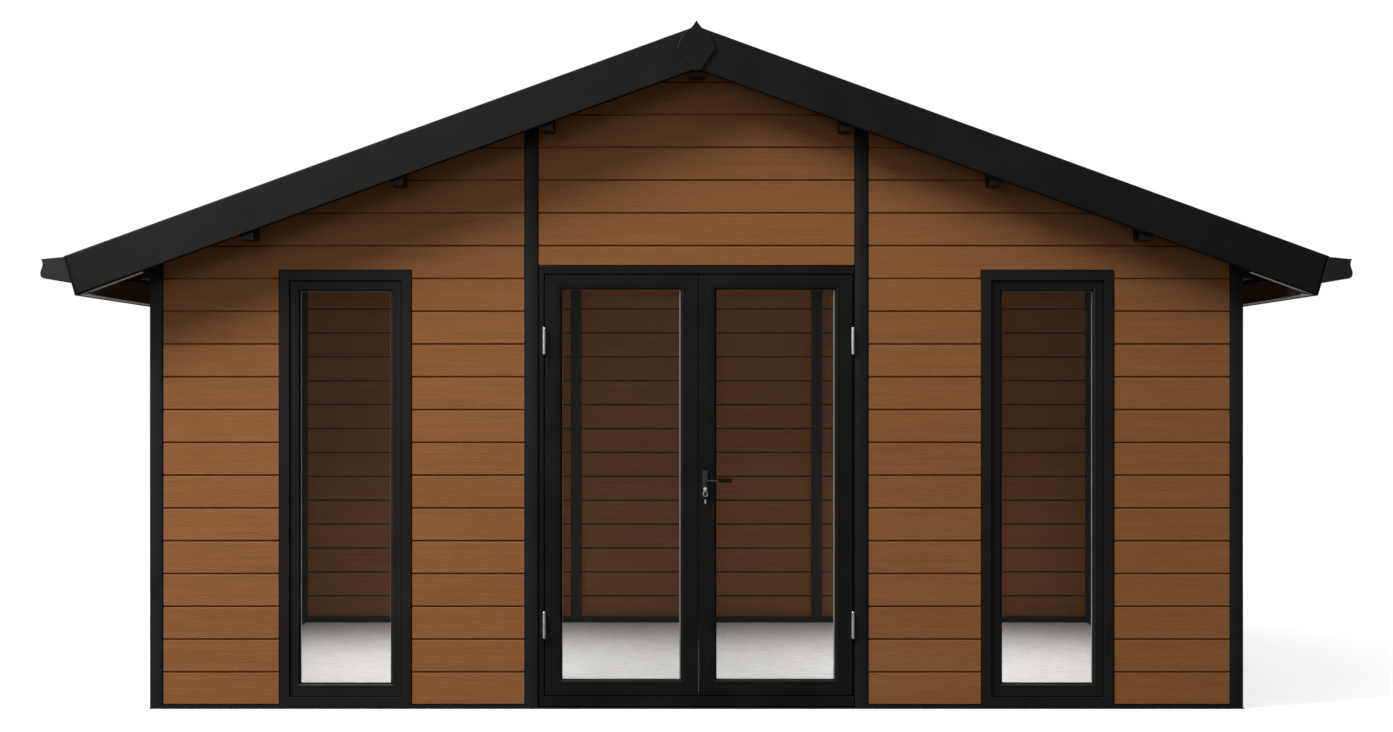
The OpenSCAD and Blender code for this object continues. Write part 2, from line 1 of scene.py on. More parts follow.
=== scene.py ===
# %% [markdown]
# # A garden office pod, piece by piece
#
# The object is a small cabin: composite boards slotted between black aluminium posts, a pair of
# glazed doors, two tall fixed windows and a low gable roof with ogee gutters. A plain engineering
# model of it already exists. It knows every size and every hinge, but its walls are flat sheets
# and its edges are razor sharp. This lesson loads that model and replaces what the eye lands on:
# each board, profile, gasket, rib and screw is made here, and each gets a finish made of nodes.
# Lengths are in metres. X runs along the front, Y runs into the building and Z is up.

# %% Load the plain model
import math

import bmesh
import bpy
from mathutils import Matrix, Vector
from mathutils.geometry import interpolate_bezier


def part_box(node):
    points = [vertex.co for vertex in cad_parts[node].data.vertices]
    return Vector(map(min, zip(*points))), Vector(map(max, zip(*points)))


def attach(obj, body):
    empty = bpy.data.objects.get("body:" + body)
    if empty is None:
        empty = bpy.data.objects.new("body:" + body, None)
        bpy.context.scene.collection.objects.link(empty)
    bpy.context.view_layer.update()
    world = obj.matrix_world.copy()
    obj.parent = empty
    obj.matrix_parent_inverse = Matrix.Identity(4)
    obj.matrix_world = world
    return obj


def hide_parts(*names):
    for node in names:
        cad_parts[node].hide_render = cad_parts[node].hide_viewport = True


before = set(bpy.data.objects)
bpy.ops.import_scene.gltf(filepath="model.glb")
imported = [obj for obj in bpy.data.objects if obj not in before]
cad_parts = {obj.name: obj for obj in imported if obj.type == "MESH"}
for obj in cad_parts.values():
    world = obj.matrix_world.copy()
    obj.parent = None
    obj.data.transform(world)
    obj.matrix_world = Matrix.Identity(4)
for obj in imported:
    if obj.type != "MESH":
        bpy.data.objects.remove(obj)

scene = bpy.context.scene
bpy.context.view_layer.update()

# %% [markdown]
# ## The view and the light
#
# The building is looked at square on from the front, a little under eye height, from far enough
# away that its uprights stay upright. A shift lens raises the picture without tilting the camera,
# as an architect's camera does. The main light is one large panel high on the left, so that the
# eaves shade the gable and the dark metal brightens to that side. A weak panel in front fills the
# shadows, and one under the ceiling in each half of the room shows the back wall through the
# glass. The sky is plain white to the eye but dimmer as a light.

# %% Set up the camera
FRONT_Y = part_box("front_wall_left")[0].y
EYE_DISTANCE = 10.69
EYE_HEIGHT = 1.456

camera = bpy.data.objects.new("eye", bpy.data.cameras.new("eye"))
camera.location = (0, FRONT_Y - EYE_DISTANCE, EYE_HEIGHT)
camera.rotation_euler = (math.radians(90), 0, 0)
camera.data.sensor_width = 36
camera.data.lens = 60.4
camera.data.shift_y = 0.0176
camera.data.clip_end = 200
scene.collection.objects.link(camera)
scene.camera = camera
print("The camera stands", round(EYE_DISTANCE, 2), "m in front of the boards.")

# %% Hang the lights
def light_panel(name, place, aim, size, watts, spread=180):
    """Hang a rectangular light at a place, turned to face a point."""
    lamp = bpy.data.lights.new(name, "AREA")
    lamp.shape = "RECTANGLE"
    lamp.size, lamp.size_y = size
    lamp.energy = watts
    lamp.spread = math.radians(spread)
    panel = bpy.data.objects.new(name, lamp)
    panel.location = place
    panel.rotation_euler = (Vector(aim) - Vector(place)).to_track_quat("-Z", "Y").to_euler()
    scene.collection.objects.link(panel)


light_panel("left_panel", (-8.0, -5.6, 9.8), (-0.5, -2, 1.2), (4.0, 4.0), 2480)
light_panel("front_panel", (-4.5, -10.5, 4.6), (0, -2, 0.6), (4, 3), 80)
for side in (-1, 1):
    light_panel(f"room_panel_{side}", (side * 1.5, -0.4, 2.1), (side * 1.5, -0.4, 0),
                (2.0, 2.6), 47, spread=105)

sky = bpy.data.worlds.new("sky")
scene.world = sky
sky.use_nodes = True
sky_nodes = sky.node_tree.nodes
sky_nodes.clear()


def sky_node(kind, *inputs):
    """Add a node to the sky and link or set its inputs, in order."""
    node = sky_nodes.new(kind)
    for value, socket in zip(inputs, node.inputs):
        if isinstance(value, bpy.types.NodeSocket):
            sky.node_tree.links.new(value, socket)
        else:
            socket.default_value = value
    return node


# The sky's own light grows with height, and a little is sent back up from under the horizon.
direction = sky_node("ShaderNodeSeparateXYZ", sky_node("ShaderNodeTexCoord").outputs["Generated"])
overhead = sky_node("ShaderNodeMapRange", direction.outputs["Z"], 0.05, 0.8, 0.05, 0.70)
below = sky_node("ShaderNodeMapRange", direction.outputs["Z"], -0.6, -0.05, 0.17, 0.0)
strength = sky_node("ShaderNodeMath", overhead.outputs[0], below.outputs[0])
lighting = sky_node("ShaderNodeBackground", (1, 1, 1, 1), strength.outputs[0])
seen = sky_node("ShaderNodeBackground", (1, 1, 1, 1), 1.0)
either = sky_node("ShaderNodeMixShader", sky_node("ShaderNodeLightPath").outputs["Is Camera Ray"],
                  lighting.outputs[0], seen.outputs[0])
sky_node("ShaderNodeOutputWorld", either.outputs[0])
scene.view_settings.view_transform = "Standard"

# %% [markdown]
# ## Finishes
#
# Every finish starts the same way: one Principled shader, and a few noises in object coordinates
# that vary its colour, its gloss and its surface a little. A helper keeps that start in one place,
# so each finish below only says what is special about it.

# %% A workbench for node finishes
class Finish:
    """A material with one Principled shader and short calls for the nodes before it."""

    def __init__(self, name, color, roughness, metallic=0.0, specular=0.5):
        self.material = bpy.data.materials.new(name)
        self.material.use_nodes = True
        self.nodes = self.material.node_tree.nodes
        self.shader = self.nodes["Principled BSDF"]
        self.shader.inputs["Base Color"].default_value = (*color, 1)
        self.shader.inputs["Roughness"].default_value = roughness
        self.shader.inputs["Metallic"].default_value = metallic
        self.shader.inputs["Specular IOR Level"].default_value = specular
        self.place = self.nodes.new("ShaderNodeTexCoord").outputs["Object"]

    def join(self, value, socket):
        """Link an output, or set a plain value, on a socket."""
        if isinstance(value, bpy.types.NodeSocket):
            self.material.node_tree.links.new(value, socket)
        else:
            socket.default_value = value

    def noise(self, scale, detail=3.0, rough=0.55):
        """Cloudy noise from 0 to 1, with a scale along each axis."""
        stretch = self.nodes.new("ShaderNodeMapping")
        self.join(self.place, stretch.inputs["Vector"])
        stretch.inputs["Scale"].default_value = scale
        node = self.nodes.new("ShaderNodeTexNoise")
        self.join(stretch.outputs[0], node.inputs["Vector"])
        for name, number in (("Scale", 1.0), ("Detail", detail), ("Roughness", rough)):
            node.inputs[name].default_value = number
        return node.outputs["Fac"]

    def maths(self, kind, *values):
        """One step of arithmetic on outputs or plain values."""
        node = self.nodes.new("ShaderNodeMath")
        node.operation = kind
        for value, socket in zip(values, node.inputs):
            self.join(value, socket)
        return node.outputs[0]

    def fade(self, value, low, high, start=0.0, end=1.0):
        """Map a value from one range to another, clamped."""
        node = self.nodes.new("ShaderNodeMapRange")
        self.join(value, node.inputs["Value"])
        for name, number in (("From Min", low), ("From Max", high), ("To Min", start), ("To Max", end)):
            node.inputs[name].default_value = number
        return node.outputs[0]

    def tint(self, share, first, second):
        """A colour between two colours."""
        node = self.nodes.new("ShaderNodeMix")
        node.data_type = "RGBA"
        self.join(share, node.inputs["Factor"])
        for value, socket in ((first, node.inputs["A"]), (second, node.inputs["B"])):
            self.join(value if isinstance(value, bpy.types.NodeSocket) else (*value, 1), socket)
        return node.outputs["Result"]

    def color(self, value):
        """Drive the colour."""
        self.join(value, self.shader.inputs["Base Color"])

    def gloss(self, value):
        """Drive the roughness."""
        self.join(value, self.shader.inputs["Roughness"])

    def relief(self, height, depth):
        """Raise the surface by a height from 0 to 1, over a depth in metres."""
        node = self.nodes.new("ShaderNodeBump")
        node.inputs["Distance"].default_value = depth
        node.inputs["Strength"].default_value = 1.0
        self.join(height, node.inputs["Height"])
        self.join(node.outputs[0], self.shader.inputs["Normal"])


print("The workbench is ready.")

# %% [markdown]
# ### Composite boards
#
# The boards are wood fibre and plastic, pressed with a wood grain. Real grain runs the length of a
# board, so the noise is stretched hard along it. Three things are mixed: broad streaks of a
# lighter and a darker brown, a fine pressed grain that also lifts the surface, and a small change
# of tone from one board to the next, which comes from the board's course number. The walls run
# two ways, so the finish is made once for each direction.

# %% Mix the board finish
BOARD_PITCH = 0.150
BOARD_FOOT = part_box("front_wall_left")[0].z
BOARD_BROWN = (0.300, 0.122, 0.040)
BOARD_LIGHT = (0.380, 0.165, 0.060)
BOARD_DARK = (0.185, 0.068, 0.021)


def composite_boards(name, along):
    """Wood-grained composite whose grain runs along X (0) or along Y (1)."""
    finish = Finish(name, BOARD_BROWN, 0.62, specular=0.14)

    def drawn_out(lengthways, crossways, *more):
        """Noise with one scale along the board and another across it."""
        return finish.noise([lengthways if axis == along else crossways for axis in range(3)], *more)

    streak, grain, cloud = drawn_out(2.6, 95, 4.0), drawn_out(16, 330, 5.0, 0.7), drawn_out(1.5, 9, 2.0)
    split = finish.nodes.new("ShaderNodeSeparateXYZ")
    finish.join(finish.place, split.inputs[0])
    height = finish.maths("SUBTRACT", split.outputs["Z"], BOARD_FOOT)
    course = finish.maths("FLOOR", finish.maths("DIVIDE", height, BOARD_PITCH))
    bay = finish.maths("FLOOR", finish.maths("MULTIPLY", split.outputs[along], 0.61))
    pair = finish.nodes.new("ShaderNodeCombineXYZ")
    dice = finish.nodes.new("ShaderNodeTexWhiteNoise")
    dice.noise_dimensions = "2D"
    for value, socket in ((course, pair.inputs[0]), (bay, pair.inputs[1]), (pair.outputs[0], dice.inputs[0])):
        finish.join(value, socket)
    tone = finish.maths("ADD", finish.fade(streak, 0.3, 0.7, -0.26, 0.26),
                        finish.fade(dice.outputs["Value"], 0, 1, -0.10, 0.10))
    tone = finish.maths("ADD", tone, finish.fade(cloud, 0.3, 0.7, -0.10, 0.10))
    lighter = finish.tint(finish.maths("MAXIMUM", tone, 0.0), BOARD_BROWN, BOARD_LIGHT)
    darkness = finish.maths("MAXIMUM", finish.maths("MULTIPLY", tone, -1.0), 0.0)
    streaked = finish.tint(darkness, lighter, BOARD_DARK)
    pressed = finish.maths("MULTIPLY", finish.fade(grain, 0.42, 0.62), 0.30)
    finish.color(finish.tint(pressed, streaked, BOARD_DARK))
    finish.gloss(finish.fade(grain, 0.3, 0.7, 0.56, 0.7))
    finish.relief(finish.fade(grain, 0.35, 0.65, 1.0, 0.0), 0.0005)
    return finish.material


boards_along_x = composite_boards("composite_boards_gable", 0)
boards_along_y = composite_boards("composite_boards_side", 1)
print("Board finishes:", boards_along_x.name, boards_along_y.name)

# %% [markdown]
# ### Powder-coated metal
#
# Powder coat has a soft, slightly pebbled gloss called orange peel. It is a fine noise in the
# relief, and a broad one in the gloss where hands and rain have dulled it. A trace of dust is
# mixed into the colour. The doors and the roof's trim are the blackest, the gutters and the roof
# sheet a shade greyer. The lip and the lining inside the eaves are pale as painted light: the lip
# is a painted reflection of the bright ground in the fascia's bottom edge, and the lining is
# painted light in the deep shade under the eaves.

# %% Mix the metal finishes
def powder_coat(name, color, roughness, specular=0.31):
    """Satin powder coat with orange peel and a trace of dust."""
    finish = Finish(name, color, roughness, specular=specular)
    wipe = finish.noise((3, 3, 3), 3.0)
    finish.gloss(finish.fade(wipe, 0.3, 0.7, roughness - 0.06, roughness + 0.08))
    finish.relief(finish.noise((420, 420, 420), 2.0), 0.00012)
    share = finish.fade(finish.noise((7, 7, 7), 5.0), 0.35, 0.75, 0.0, 0.018)
    finish.color(finish.tint(share, color, (0.16, 0.14, 0.12)))
    return finish.material


frame_coat = powder_coat("black_powder_coat", (0.0040, 0.0044, 0.0038), 0.50)
door_coat = powder_coat("door_powder_coat", (0.0024, 0.0028, 0.0022), 0.44, specular=0.27)
trim_coat = powder_coat("roof_trim_coat", (0.0016, 0.0019, 0.0013), 0.50, specular=0.27)
sheet_coat = powder_coat("roof_sheet_coat", (0.0200, 0.0208, 0.0212), 0.50)
gutter_coat = powder_coat("gutter_coat", (0.0135, 0.0137, 0.0132), 0.50)
# Painted reflection: the pale lip under the fascia stands for the bright ground reflected in its bottom edge.
reflection_lip_coat = powder_coat("painted_reflection_lip_coat", (0.8000, 0.7900, 0.7600), 0.45)
# Painted light: the pale lining lifts the deep shade inside the eaves.
painted_light_lining_coat = powder_coat("eaves_painted_light_coat", (0.7500, 0.7800, 0.7400), 0.60)
coats = (frame_coat, door_coat, trim_coat, sheet_coat, gutter_coat, reflection_lip_coat, painted_light_lining_coat)
print("Coats:", [coat.name for coat in coats])

# %% [markdown]
# ### Glass, rubber, floor and bright metal
#
# A sealed pane is two thin sheets. Each is nearly clear with a trace of green, and lets lamps
# through, which a low alpha does at no cost. Rubber draws the thin black lines round every frame.
# The floor is a pale vinyl with a faint mottle. The hinges, the lock and the spacer between two
# sheets of glass are bare metal, with fine scratches in their gloss. The handle is a grey coat.

# %% Mix the small finishes
def clear_glass():
    """Thin, nearly clear sheet glass."""
    finish = Finish("clear_glass", (0.034, 0.040, 0.034), 0.04)
    finish.shader.inputs["Alpha"].default_value = 0.10
    finish.gloss(finish.fade(finish.noise((2, 2, 2), 2.0), 0.3, 0.7, 0.02, 0.07))
    return finish.material


def rubber():
    """Dull black rubber."""
    finish = Finish("black_rubber", (0.0022, 0.0022, 0.0022), 0.75, specular=0.15)
    finish.relief(finish.noise((900, 900, 900), 2.0), 0.0001)
    finish.gloss(finish.fade(finish.noise((9, 9, 9), 2.0), 0.3, 0.7, 0.68, 0.85))
    return finish.material


def pale_vinyl():
    """Pale mottled floor vinyl."""
    finish = Finish("pale_vinyl", (0.72, 0.72, 0.71), 0.5, specular=0.3)
    mottle = finish.noise((14, 14, 14), 5.0)
    finish.color(finish.tint(finish.fade(mottle, 0.35, 0.65), (0.76, 0.76, 0.755), (0.66, 0.66, 0.65)))
    finish.gloss(finish.fade(mottle, 0.3, 0.7, 0.42, 0.58))
    finish.relief(finish.noise((260, 260, 260), 3.0), 0.0002)
    return finish.material


def bright_metal(name, color, roughness, grain):
    """Bare metal with fine scratches, drawn out along an axis of small grain."""
    finish = Finish(name, color, roughness, metallic=1.0)
    scratch = finish.noise(grain, 3.0)
    finish.gloss(finish.fade(scratch, 0.3, 0.7, roughness - 0.07, roughness + 0.1))
    finish.relief(scratch, 0.00003)
    return finish.material


glass = clear_glass()
handle_coat = powder_coat("handle_grey_coat", (0.0270, 0.0280, 0.0260), 0.40)
gasket_rubber = rubber()
floor_vinyl = pale_vinyl()
spacer_metal = bright_metal("milled_aluminium", (0.62, 0.60, 0.56), 0.55, (400, 400, 400))
hinge_metal = bright_metal("satin_aluminium", (0.88, 0.88, 0.89), 0.42, (500, 500, 12))
lock_metal = bright_metal("nickel", (0.95, 0.94, 0.91), 0.42, (300, 300, 300))
small = (glass, gasket_rubber, floor_vinyl, handle_coat, spacer_metal, hinge_metal, lock_metal)
print("Small finishes:", [finish.name for finish in small])

# %% [markdown]
# ## Tools for modelling
#
# Nearly everything on this building is a straight bar, a profile swept round a rectangle, or a
# profile pushed along a line. A few small tools make those from bmesh operators, saw them and
# soften their edges. Another turns a finished bmesh into an object that stays at the origin and
# says which body it moves with.

# %% Turn a bmesh into a piece
def finish_piece(name, bm, material, body="building", replaces=(), crease=None):
    """Make an object of a bmesh. Faces meeting under the crease angle are shaded smooth."""
    bmesh.ops.recalc_face_normals(bm, faces=bm.faces)
    mesh = bpy.data.meshes.new(name)
    bm.to_mesh(mesh)
    bm.free()
    mesh.materials.append(material)
    if crease is not None:
        mesh.shade_smooth()
        mesh.set_sharp_from_angle(angle=math.radians(crease))
    piece = bpy.data.objects.new(name, mesh)
    scene.collection.objects.link(piece)
    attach(piece, body)
    if replaces:
        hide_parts(*replaces)
    print(f"{name}: {len(mesh.polygons)} faces on {body}")


def pour(into, part):
    """Add one bmesh to another and free it."""
    carrier = bpy.data.meshes.new("carrier")
    part.to_mesh(carrier)
    part.free()
    into.from_mesh(carrier)
    bpy.data.meshes.remove(carrier)


print("Ready: finish_piece, pour")

# %% Name the two sides
SIDES = ((-1, "left"), (1, "right"))


def on_side(side, near, far):
    """Two distances from the middle, as a low and a high place on one side of it."""
    return sorted((side * near, side * far))


print("Left is", SIDES[0][0], "and right is", SIDES[1][0], "along X.")

# %% Make a bar and cut it to a slope
def bar(low, high, round_over=0.0, along=None, segments=2):
    """A box between two corners. Its edges are rounded, or only those along one axis."""
    low, high = Vector(low), Vector(high)
    part = bmesh.new()
    place = Matrix.Translation((low + high) / 2) @ Matrix.Diagonal((*(high - low), 1))
    bmesh.ops.create_cube(part, size=1, matrix=place)
    if round_over:
        edges = [e for e in part.edges
                 if along is None or abs((e.verts[0].co - e.verts[1].co)[along]) > 1e-6]
        bmesh.ops.bevel(part, geom=edges, offset=round_over, offset_type="OFFSET",
                        segments=segments, profile=0.5, affect="EDGES", material=-1)
    return part


def saw(part, point, normal):
    """Cut away what lies beyond a plane and close the cut."""
    cut = bmesh.ops.bisect_plane(part, geom=part.verts[:] + part.edges[:] + part.faces[:],
                                 plane_co=point, plane_no=normal, clear_outer=True)
    edges = [e for e in cut["geom_cut"] if isinstance(e, bmesh.types.BMEdge)]
    if edges:
        bmesh.ops.holes_fill(part, edges=edges)


print("Ready: bar, saw")

# %% Push an outline along a line
SHARP_CORNER = math.radians(60)


def new_verts(grown):
    """The vertices that an extrusion added."""
    return [v for v in grown["geom"] if isinstance(v, bmesh.types.BMVert)]


def pushed(outline, start, end, along=1):
    """Push a closed outline in X and Z along Y (1), or one in Y and Z along X (0)."""
    part = bmesh.new()
    face = part.faces.new([part.verts.new((a, start, b) if along else (start, a, b)) for a, b in outline])
    grown = bmesh.ops.extrude_face_region(part, geom=[face])
    step = (0, end - start, 0) if along else (end - start, 0, 0)
    bmesh.ops.translate(part, verts=new_verts(grown), vec=step)
    return part


def soften(part, width, segments=1):
    """Bevel the edges at which two faces make a sharp corner."""
    edges = [e for e in part.edges if e.is_manifold and e.calc_face_angle() > SHARP_CORNER]
    bmesh.ops.bevel(part, geom=edges, offset=width, offset_type="OFFSET", segments=segments,
                    profile=0.5, affect="EDGES", material=-1, clamp_overlap=True)
    return part


print("Ready: pushed, soften")

# %% Sweep a profile round a rectangle
def mitred_frame(low, high, profile, widths):
    """Sweep a profile round a rectangle in X and Z, with a mitre at each corner.

    widths are those of the left, the right, the head and the foot. A profile point is (share,
    more, y): it lies that share of the side's width inwards, and more metres beyond that."""
    left, right = (low.x, 1, widths[0]), (high.x, -1, widths[1])
    head, foot = (high.z, -1, widths[2]), (low.z, 1, widths[3])
    part = bmesh.new()
    loops = []
    for (x, dx, side), (z, dz, rail) in ((left, foot), (right, foot), (right, head), (left, head)):
        ring = [part.verts.new((x + dx * (share * side + more), y, z + dz * (share * rail + more)))
                for share, more, y in profile]
        loops.append([part.edges.new((a, b)) for a, b in zip(ring, ring[1:] + ring[:1])])
    for one, other in zip(loops, loops[1:] + loops[:1]):
        bmesh.ops.bridge_loops(part, edges=one + other)
    return part


print("Ready: mitred_frame")

# %% [markdown]
# ## Walls of boards
#
# Each wall is a stack of boards, one course every 150 mm. A flat sheet with lines drawn on it
# would never catch the light along its joints, so every board is its own bar with both long edges
# rounded. The boards stand seven and a half millimetres apart, and a tongue set back between them
# closes the joint, as on the real thing. A board that meets the roof is sawn off at the roof's
# slope. Their ends stop short of the posts, where a black rubber strip fills the slot. On the room
# side of the back wall a black strip lies in every joint. It is painted shade that darkens the
# joints where the real grooves fall into shade.

# %% Measure the roof's slope
ROOF_SLOPE = math.radians(20)
ROOF_RISE = math.tan(ROOF_SLOPE)
UPRIGHT = 1 / math.cos(ROOF_SLOPE)  # turns a thickness across the slope into an upright one
UNDER_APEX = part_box("ridge_beam")[1].z
ROOF_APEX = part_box("roof_panel_right")[1].z


def slope_height(apex, x):
    """Height of a slope that starts from an apex over the middle."""
    return apex - ROOF_RISE * abs(x)


def on_slope(side, x, apex):
    """The point of a slope line at a distance from the middle, on one side."""
    return side * x, slope_height(apex, x)


def saw_to_roof(part, drop=0.0):
    """Saw a piece off under both slopes of the roof."""
    for side in (-1, 1):
        outwards = Vector((side * math.sin(ROOF_SLOPE), 0, math.cos(ROOF_SLOPE)))
        saw(part, Vector((0, 0, UNDER_APEX - drop)), outwards)
    return part


print("The roof's underside peaks at", round(UNDER_APEX, 3), "m.")

# %% Lay courses of boards
BOARD_GAP, BOARD_EDGE = 0.0075, 0.0018
SHORTEST_BOARD, SHORTEST_TONGUE = 0.012, 0.005
TONGUE_IN, TONGUE_LAP = 0.42, 0.004
ROOF_CLEAR = 0.001
RUBBER_SLOT, SLOT_BACK = 0.0035, 0.004
HAIR = 1e-6


def lay_boards(wall, low, high, along, under_roof, notch):
    """Lay boards and the tongues between them, from the foot of a box to its head."""
    across = 1 - along
    inset = TONGUE_IN * (high[across] - low[across])
    # A hair's breadth keeps a box that ends on a joint from counting the next course.
    first = math.floor((low.z - BOARD_FOOT) / BOARD_PITCH + HAIR)
    last = math.ceil((high.z - BOARD_FOOT) / BOARD_PITCH - HAIR)
    for course in range(first, last):
        start, end = low.copy(), high.copy()
        start.z = max(BOARD_FOOT + course * BOARD_PITCH + BOARD_GAP / 2, low.z)
        end.z = min(BOARD_FOOT + (course + 1) * BOARD_PITCH - BOARD_GAP / 2, high.z)
        if end.z - start.z < SHORTEST_BOARD:
            continue
        start[along] += RUBBER_SLOT
        end[along] -= RUBBER_SLOT
        if notch and start.z < notch[2]:
            left, right, top = notch[0] - RUBBER_SLOT, notch[1] + RUBBER_SLOT, notch[2] + RUBBER_SLOT
            outline = [(start.x, start.z), (left, start.z), (left, top), (right, top),
                       (right, start.z), (end.x, start.z), (end.x, end.z), (start.x, end.z)]
            pieces = [soften(pushed(outline, start.y, end.y), BOARD_EDGE, 2)]
        else:
            pieces = [bar(start, end, BOARD_EDGE, along)]
        start.z, end.z = end.z - TONGUE_LAP, min(end.z + BOARD_GAP + TONGUE_LAP, high.z)
        start[across] += inset
        end[across] -= inset
        if end.z - start.z > SHORTEST_TONGUE:
            pieces.append(bar(start, end))
        for piece in pieces:
            pour(wall, saw_to_roof(piece, ROOF_CLEAR) if under_roof else piece)


def fill_bay(wall, rubber, low, high, along, under_roof=False, notch=None):
    """Fill a box with boards that run along X (0) or Y (1), and rubber the slot at each end.

    A notch is the left, right and top of an opening that the boards' underside straddles."""
    low, high = Vector(low), Vector(high)
    lay_boards(wall, low, high, along, under_roof, notch)
    across = 1 - along
    if low[across] + high[across] < 0:
        low[across] += SLOT_BACK
    else:
        high[across] -= SLOT_BACK
    for place in (low[along], high[along] - RUBBER_SLOT):
        low[along], high[along] = place, place + RUBBER_SLOT
        strip = bar(low, high)
        pour(rubber, saw_to_roof(strip) if under_roof else strip)


print("Boards stand", BOARD_GAP * 1000, "mm apart.")

# %% Build the front wall
FACE_Y, BACK_Y = (corner.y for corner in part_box("front_wall_left"))
gable_low, gable_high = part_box("front_gable_left")
window_low, window_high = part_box("window_frame_right")
middle_low, middle_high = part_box("front_gable_middle")
OUTER_X, INNER_X = -gable_low.x, -gable_high.x
EAVES_COURSE = BOARD_FOOT + 13 * BOARD_PITCH

rubber_front = bmesh.new()
for side, hand in SIDES:
    wall = bmesh.new()
    for near, far in (on_side(side, INNER_X, window_low.x), on_side(side, window_high.x, OUTER_X)):
        fill_bay(wall, rubber_front, (near, FACE_Y, BOARD_FOOT), (far, BACK_Y, EAVES_COURSE), 0)
    near, far = on_side(side, INNER_X, OUTER_X)
    window = (*on_side(side, window_low.x, window_high.x), window_high.z)
    fill_bay(wall, rubber_front, (near, FACE_Y, EAVES_COURSE), (far, BACK_Y, gable_high.z), 0,
             under_roof=True, notch=window)
    pour(rubber_front, bar((window[0], FACE_Y + SLOT_BACK, window_high.z),
                           (window[1], BACK_Y, window_high.z + RUBBER_SLOT)))
    finish_piece(f"front_boards_{hand}", wall, boards_along_x, crease=20,
                 replaces=(f"front_wall_{hand}", f"front_gable_{hand}"))

middle = bmesh.new()
fill_bay(middle, rubber_front, (middle_low.x, FACE_Y, middle_low.z),
         (middle_high.x, BACK_Y, middle_high.z), 0, under_roof=True)
finish_piece("front_boards_middle", middle, boards_along_x, crease=20,
             replaces=("front_gable_middle",))
finish_piece("front_board_seals", rubber_front, gasket_rubber)

# %% Build the back and the side walls
SHADE_STRIP_FRONT, SHADE_STRIP_BACK = 0.003, 0.010
back_low, back_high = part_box("back_wall")
joint_count = round((UNDER_APEX - BOARD_FOOT) / BOARD_PITCH)
back, rubber_and_shade_back = bmesh.new(), bmesh.new()
for near, far in ((-OUTER_X, -INNER_X), (middle_low.x, middle_high.x), (INNER_X, OUTER_X)):
    fill_bay(back, rubber_and_shade_back, (near, back_low.y, BOARD_FOOT), (far, back_high.y, UNDER_APEX), 0,
             under_roof=True)
    # A black strip in each joint on the room side is painted shade in the groove.
    for course in range(1, joint_count + 1):
        joint_z = BOARD_FOOT + course * BOARD_PITCH
        seal = bar((near + RUBBER_SLOT, back_low.y + SHADE_STRIP_FRONT, joint_z - BOARD_GAP / 2),
                   (far - RUBBER_SLOT, back_low.y + SHADE_STRIP_BACK, joint_z + BOARD_GAP / 2))
        pour(rubber_and_shade_back, saw_to_roof(seal))
finish_piece("back_boards", back, boards_along_x, crease=20, replaces=("back_wall",))

POST = 0.058
post_low, post_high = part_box("side_posts")
post_ys = [post_low.y, post_high.y - POST]
for side, hand in SIDES:
    low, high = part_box(f"{hand}_wall")
    wall = bmesh.new()
    for near, far in zip([low.y] + [y + POST for y in post_ys], post_ys + [high.y]):
        fill_bay(wall, rubber_and_shade_back, (low.x, near, low.z), (high.x, far, high.z), 1)
    finish_piece(f"{hand}_boards", wall, boards_along_y, crease=20,
                 replaces=(f"{hand}_wall",))
finish_piece("side_board_seals_and_shade_strips", rubber_and_shade_back, gasket_rubber)

# %% [markdown]
# ## Posts and rails
#
# The posts are aluminium extrusions. An extrusion never has a razor edge: a corner radius of two
# millimetres is what makes a black post readable against a dark gap, because it draws a thin line
# of light down each corner. The gable posts are sawn to the slope. Each corner post stands in a
# foot a little wider than itself.

# %% Stand the posts
POST_EDGE = 0.002
FLANGE_OUT, FLANGE_HIGH, FLANGE_EDGE = 0.006, 0.004, 0.0012
half_post_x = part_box("corner_posts_front")[1].x - FLANGE_OUT
half_post_y = -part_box("door_posts")[0].y


def stand_posts(node, x_reach, y_spans, under_roof=True):
    """Stand a pair of posts on each span in Y, over the height of the node they replace."""
    low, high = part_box(node)
    posts = bmesh.new()
    for x0, x1 in (on_side(side, x_reach - POST, x_reach) for side in (-1, 1)):
        for y0, y1 in y_spans:
            post = bar((x0, y0, low.z), (x1, y1, high.z), POST_EDGE, 2, 3)
            pour(posts, saw_to_roof(post) if under_roof else post)
    return posts


def finish_posts(name, posts, node):
    """Finish posts in the frame's coat, in place of a node."""
    finish_piece(name, posts, frame_coat, crease=20, replaces=(node,))


for end, sign, inner in (("front", -1, "door_posts"), ("back", 1, "back_posts")):
    y_spans = [on_side(sign, half_post_y - POST, half_post_y)]
    posts = stand_posts(f"corner_posts_{end}", half_post_x, y_spans)
    y0, y1 = on_side(sign, half_post_y - POST, half_post_y + FLANGE_OUT)
    for side in (-1, 1):
        x0, x1 = on_side(side, half_post_x - POST, half_post_x + FLANGE_OUT)
        pour(posts, bar((x0, y0, 0), (x1, y1, FLANGE_HIGH), FLANGE_EDGE))
    finish_posts(f"corner_posts_{end}_rounded", posts, f"corner_posts_{end}")
    finish_posts(f"{inner}_rounded", stand_posts(inner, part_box(inner)[1].x, y_spans), inner)
side_spans = [(y, y + POST) for y in post_ys]
finish_posts("side_posts_rounded", stand_posts("side_posts", half_post_x, side_spans, False), "side_posts")

# %% [markdown]
# ## Windows
#
# A window is three frames, one in another: the fixed outer frame, the sash set back in it, and the
# bead that holds the pane. On such frames every corner is a mitre. Sweeping one profile round a
# rectangle gives the mitres for nothing, and the profile can hold every small step: the rounded
# nose of the bead, the groove for the pane and the rubber that presses on the glass.

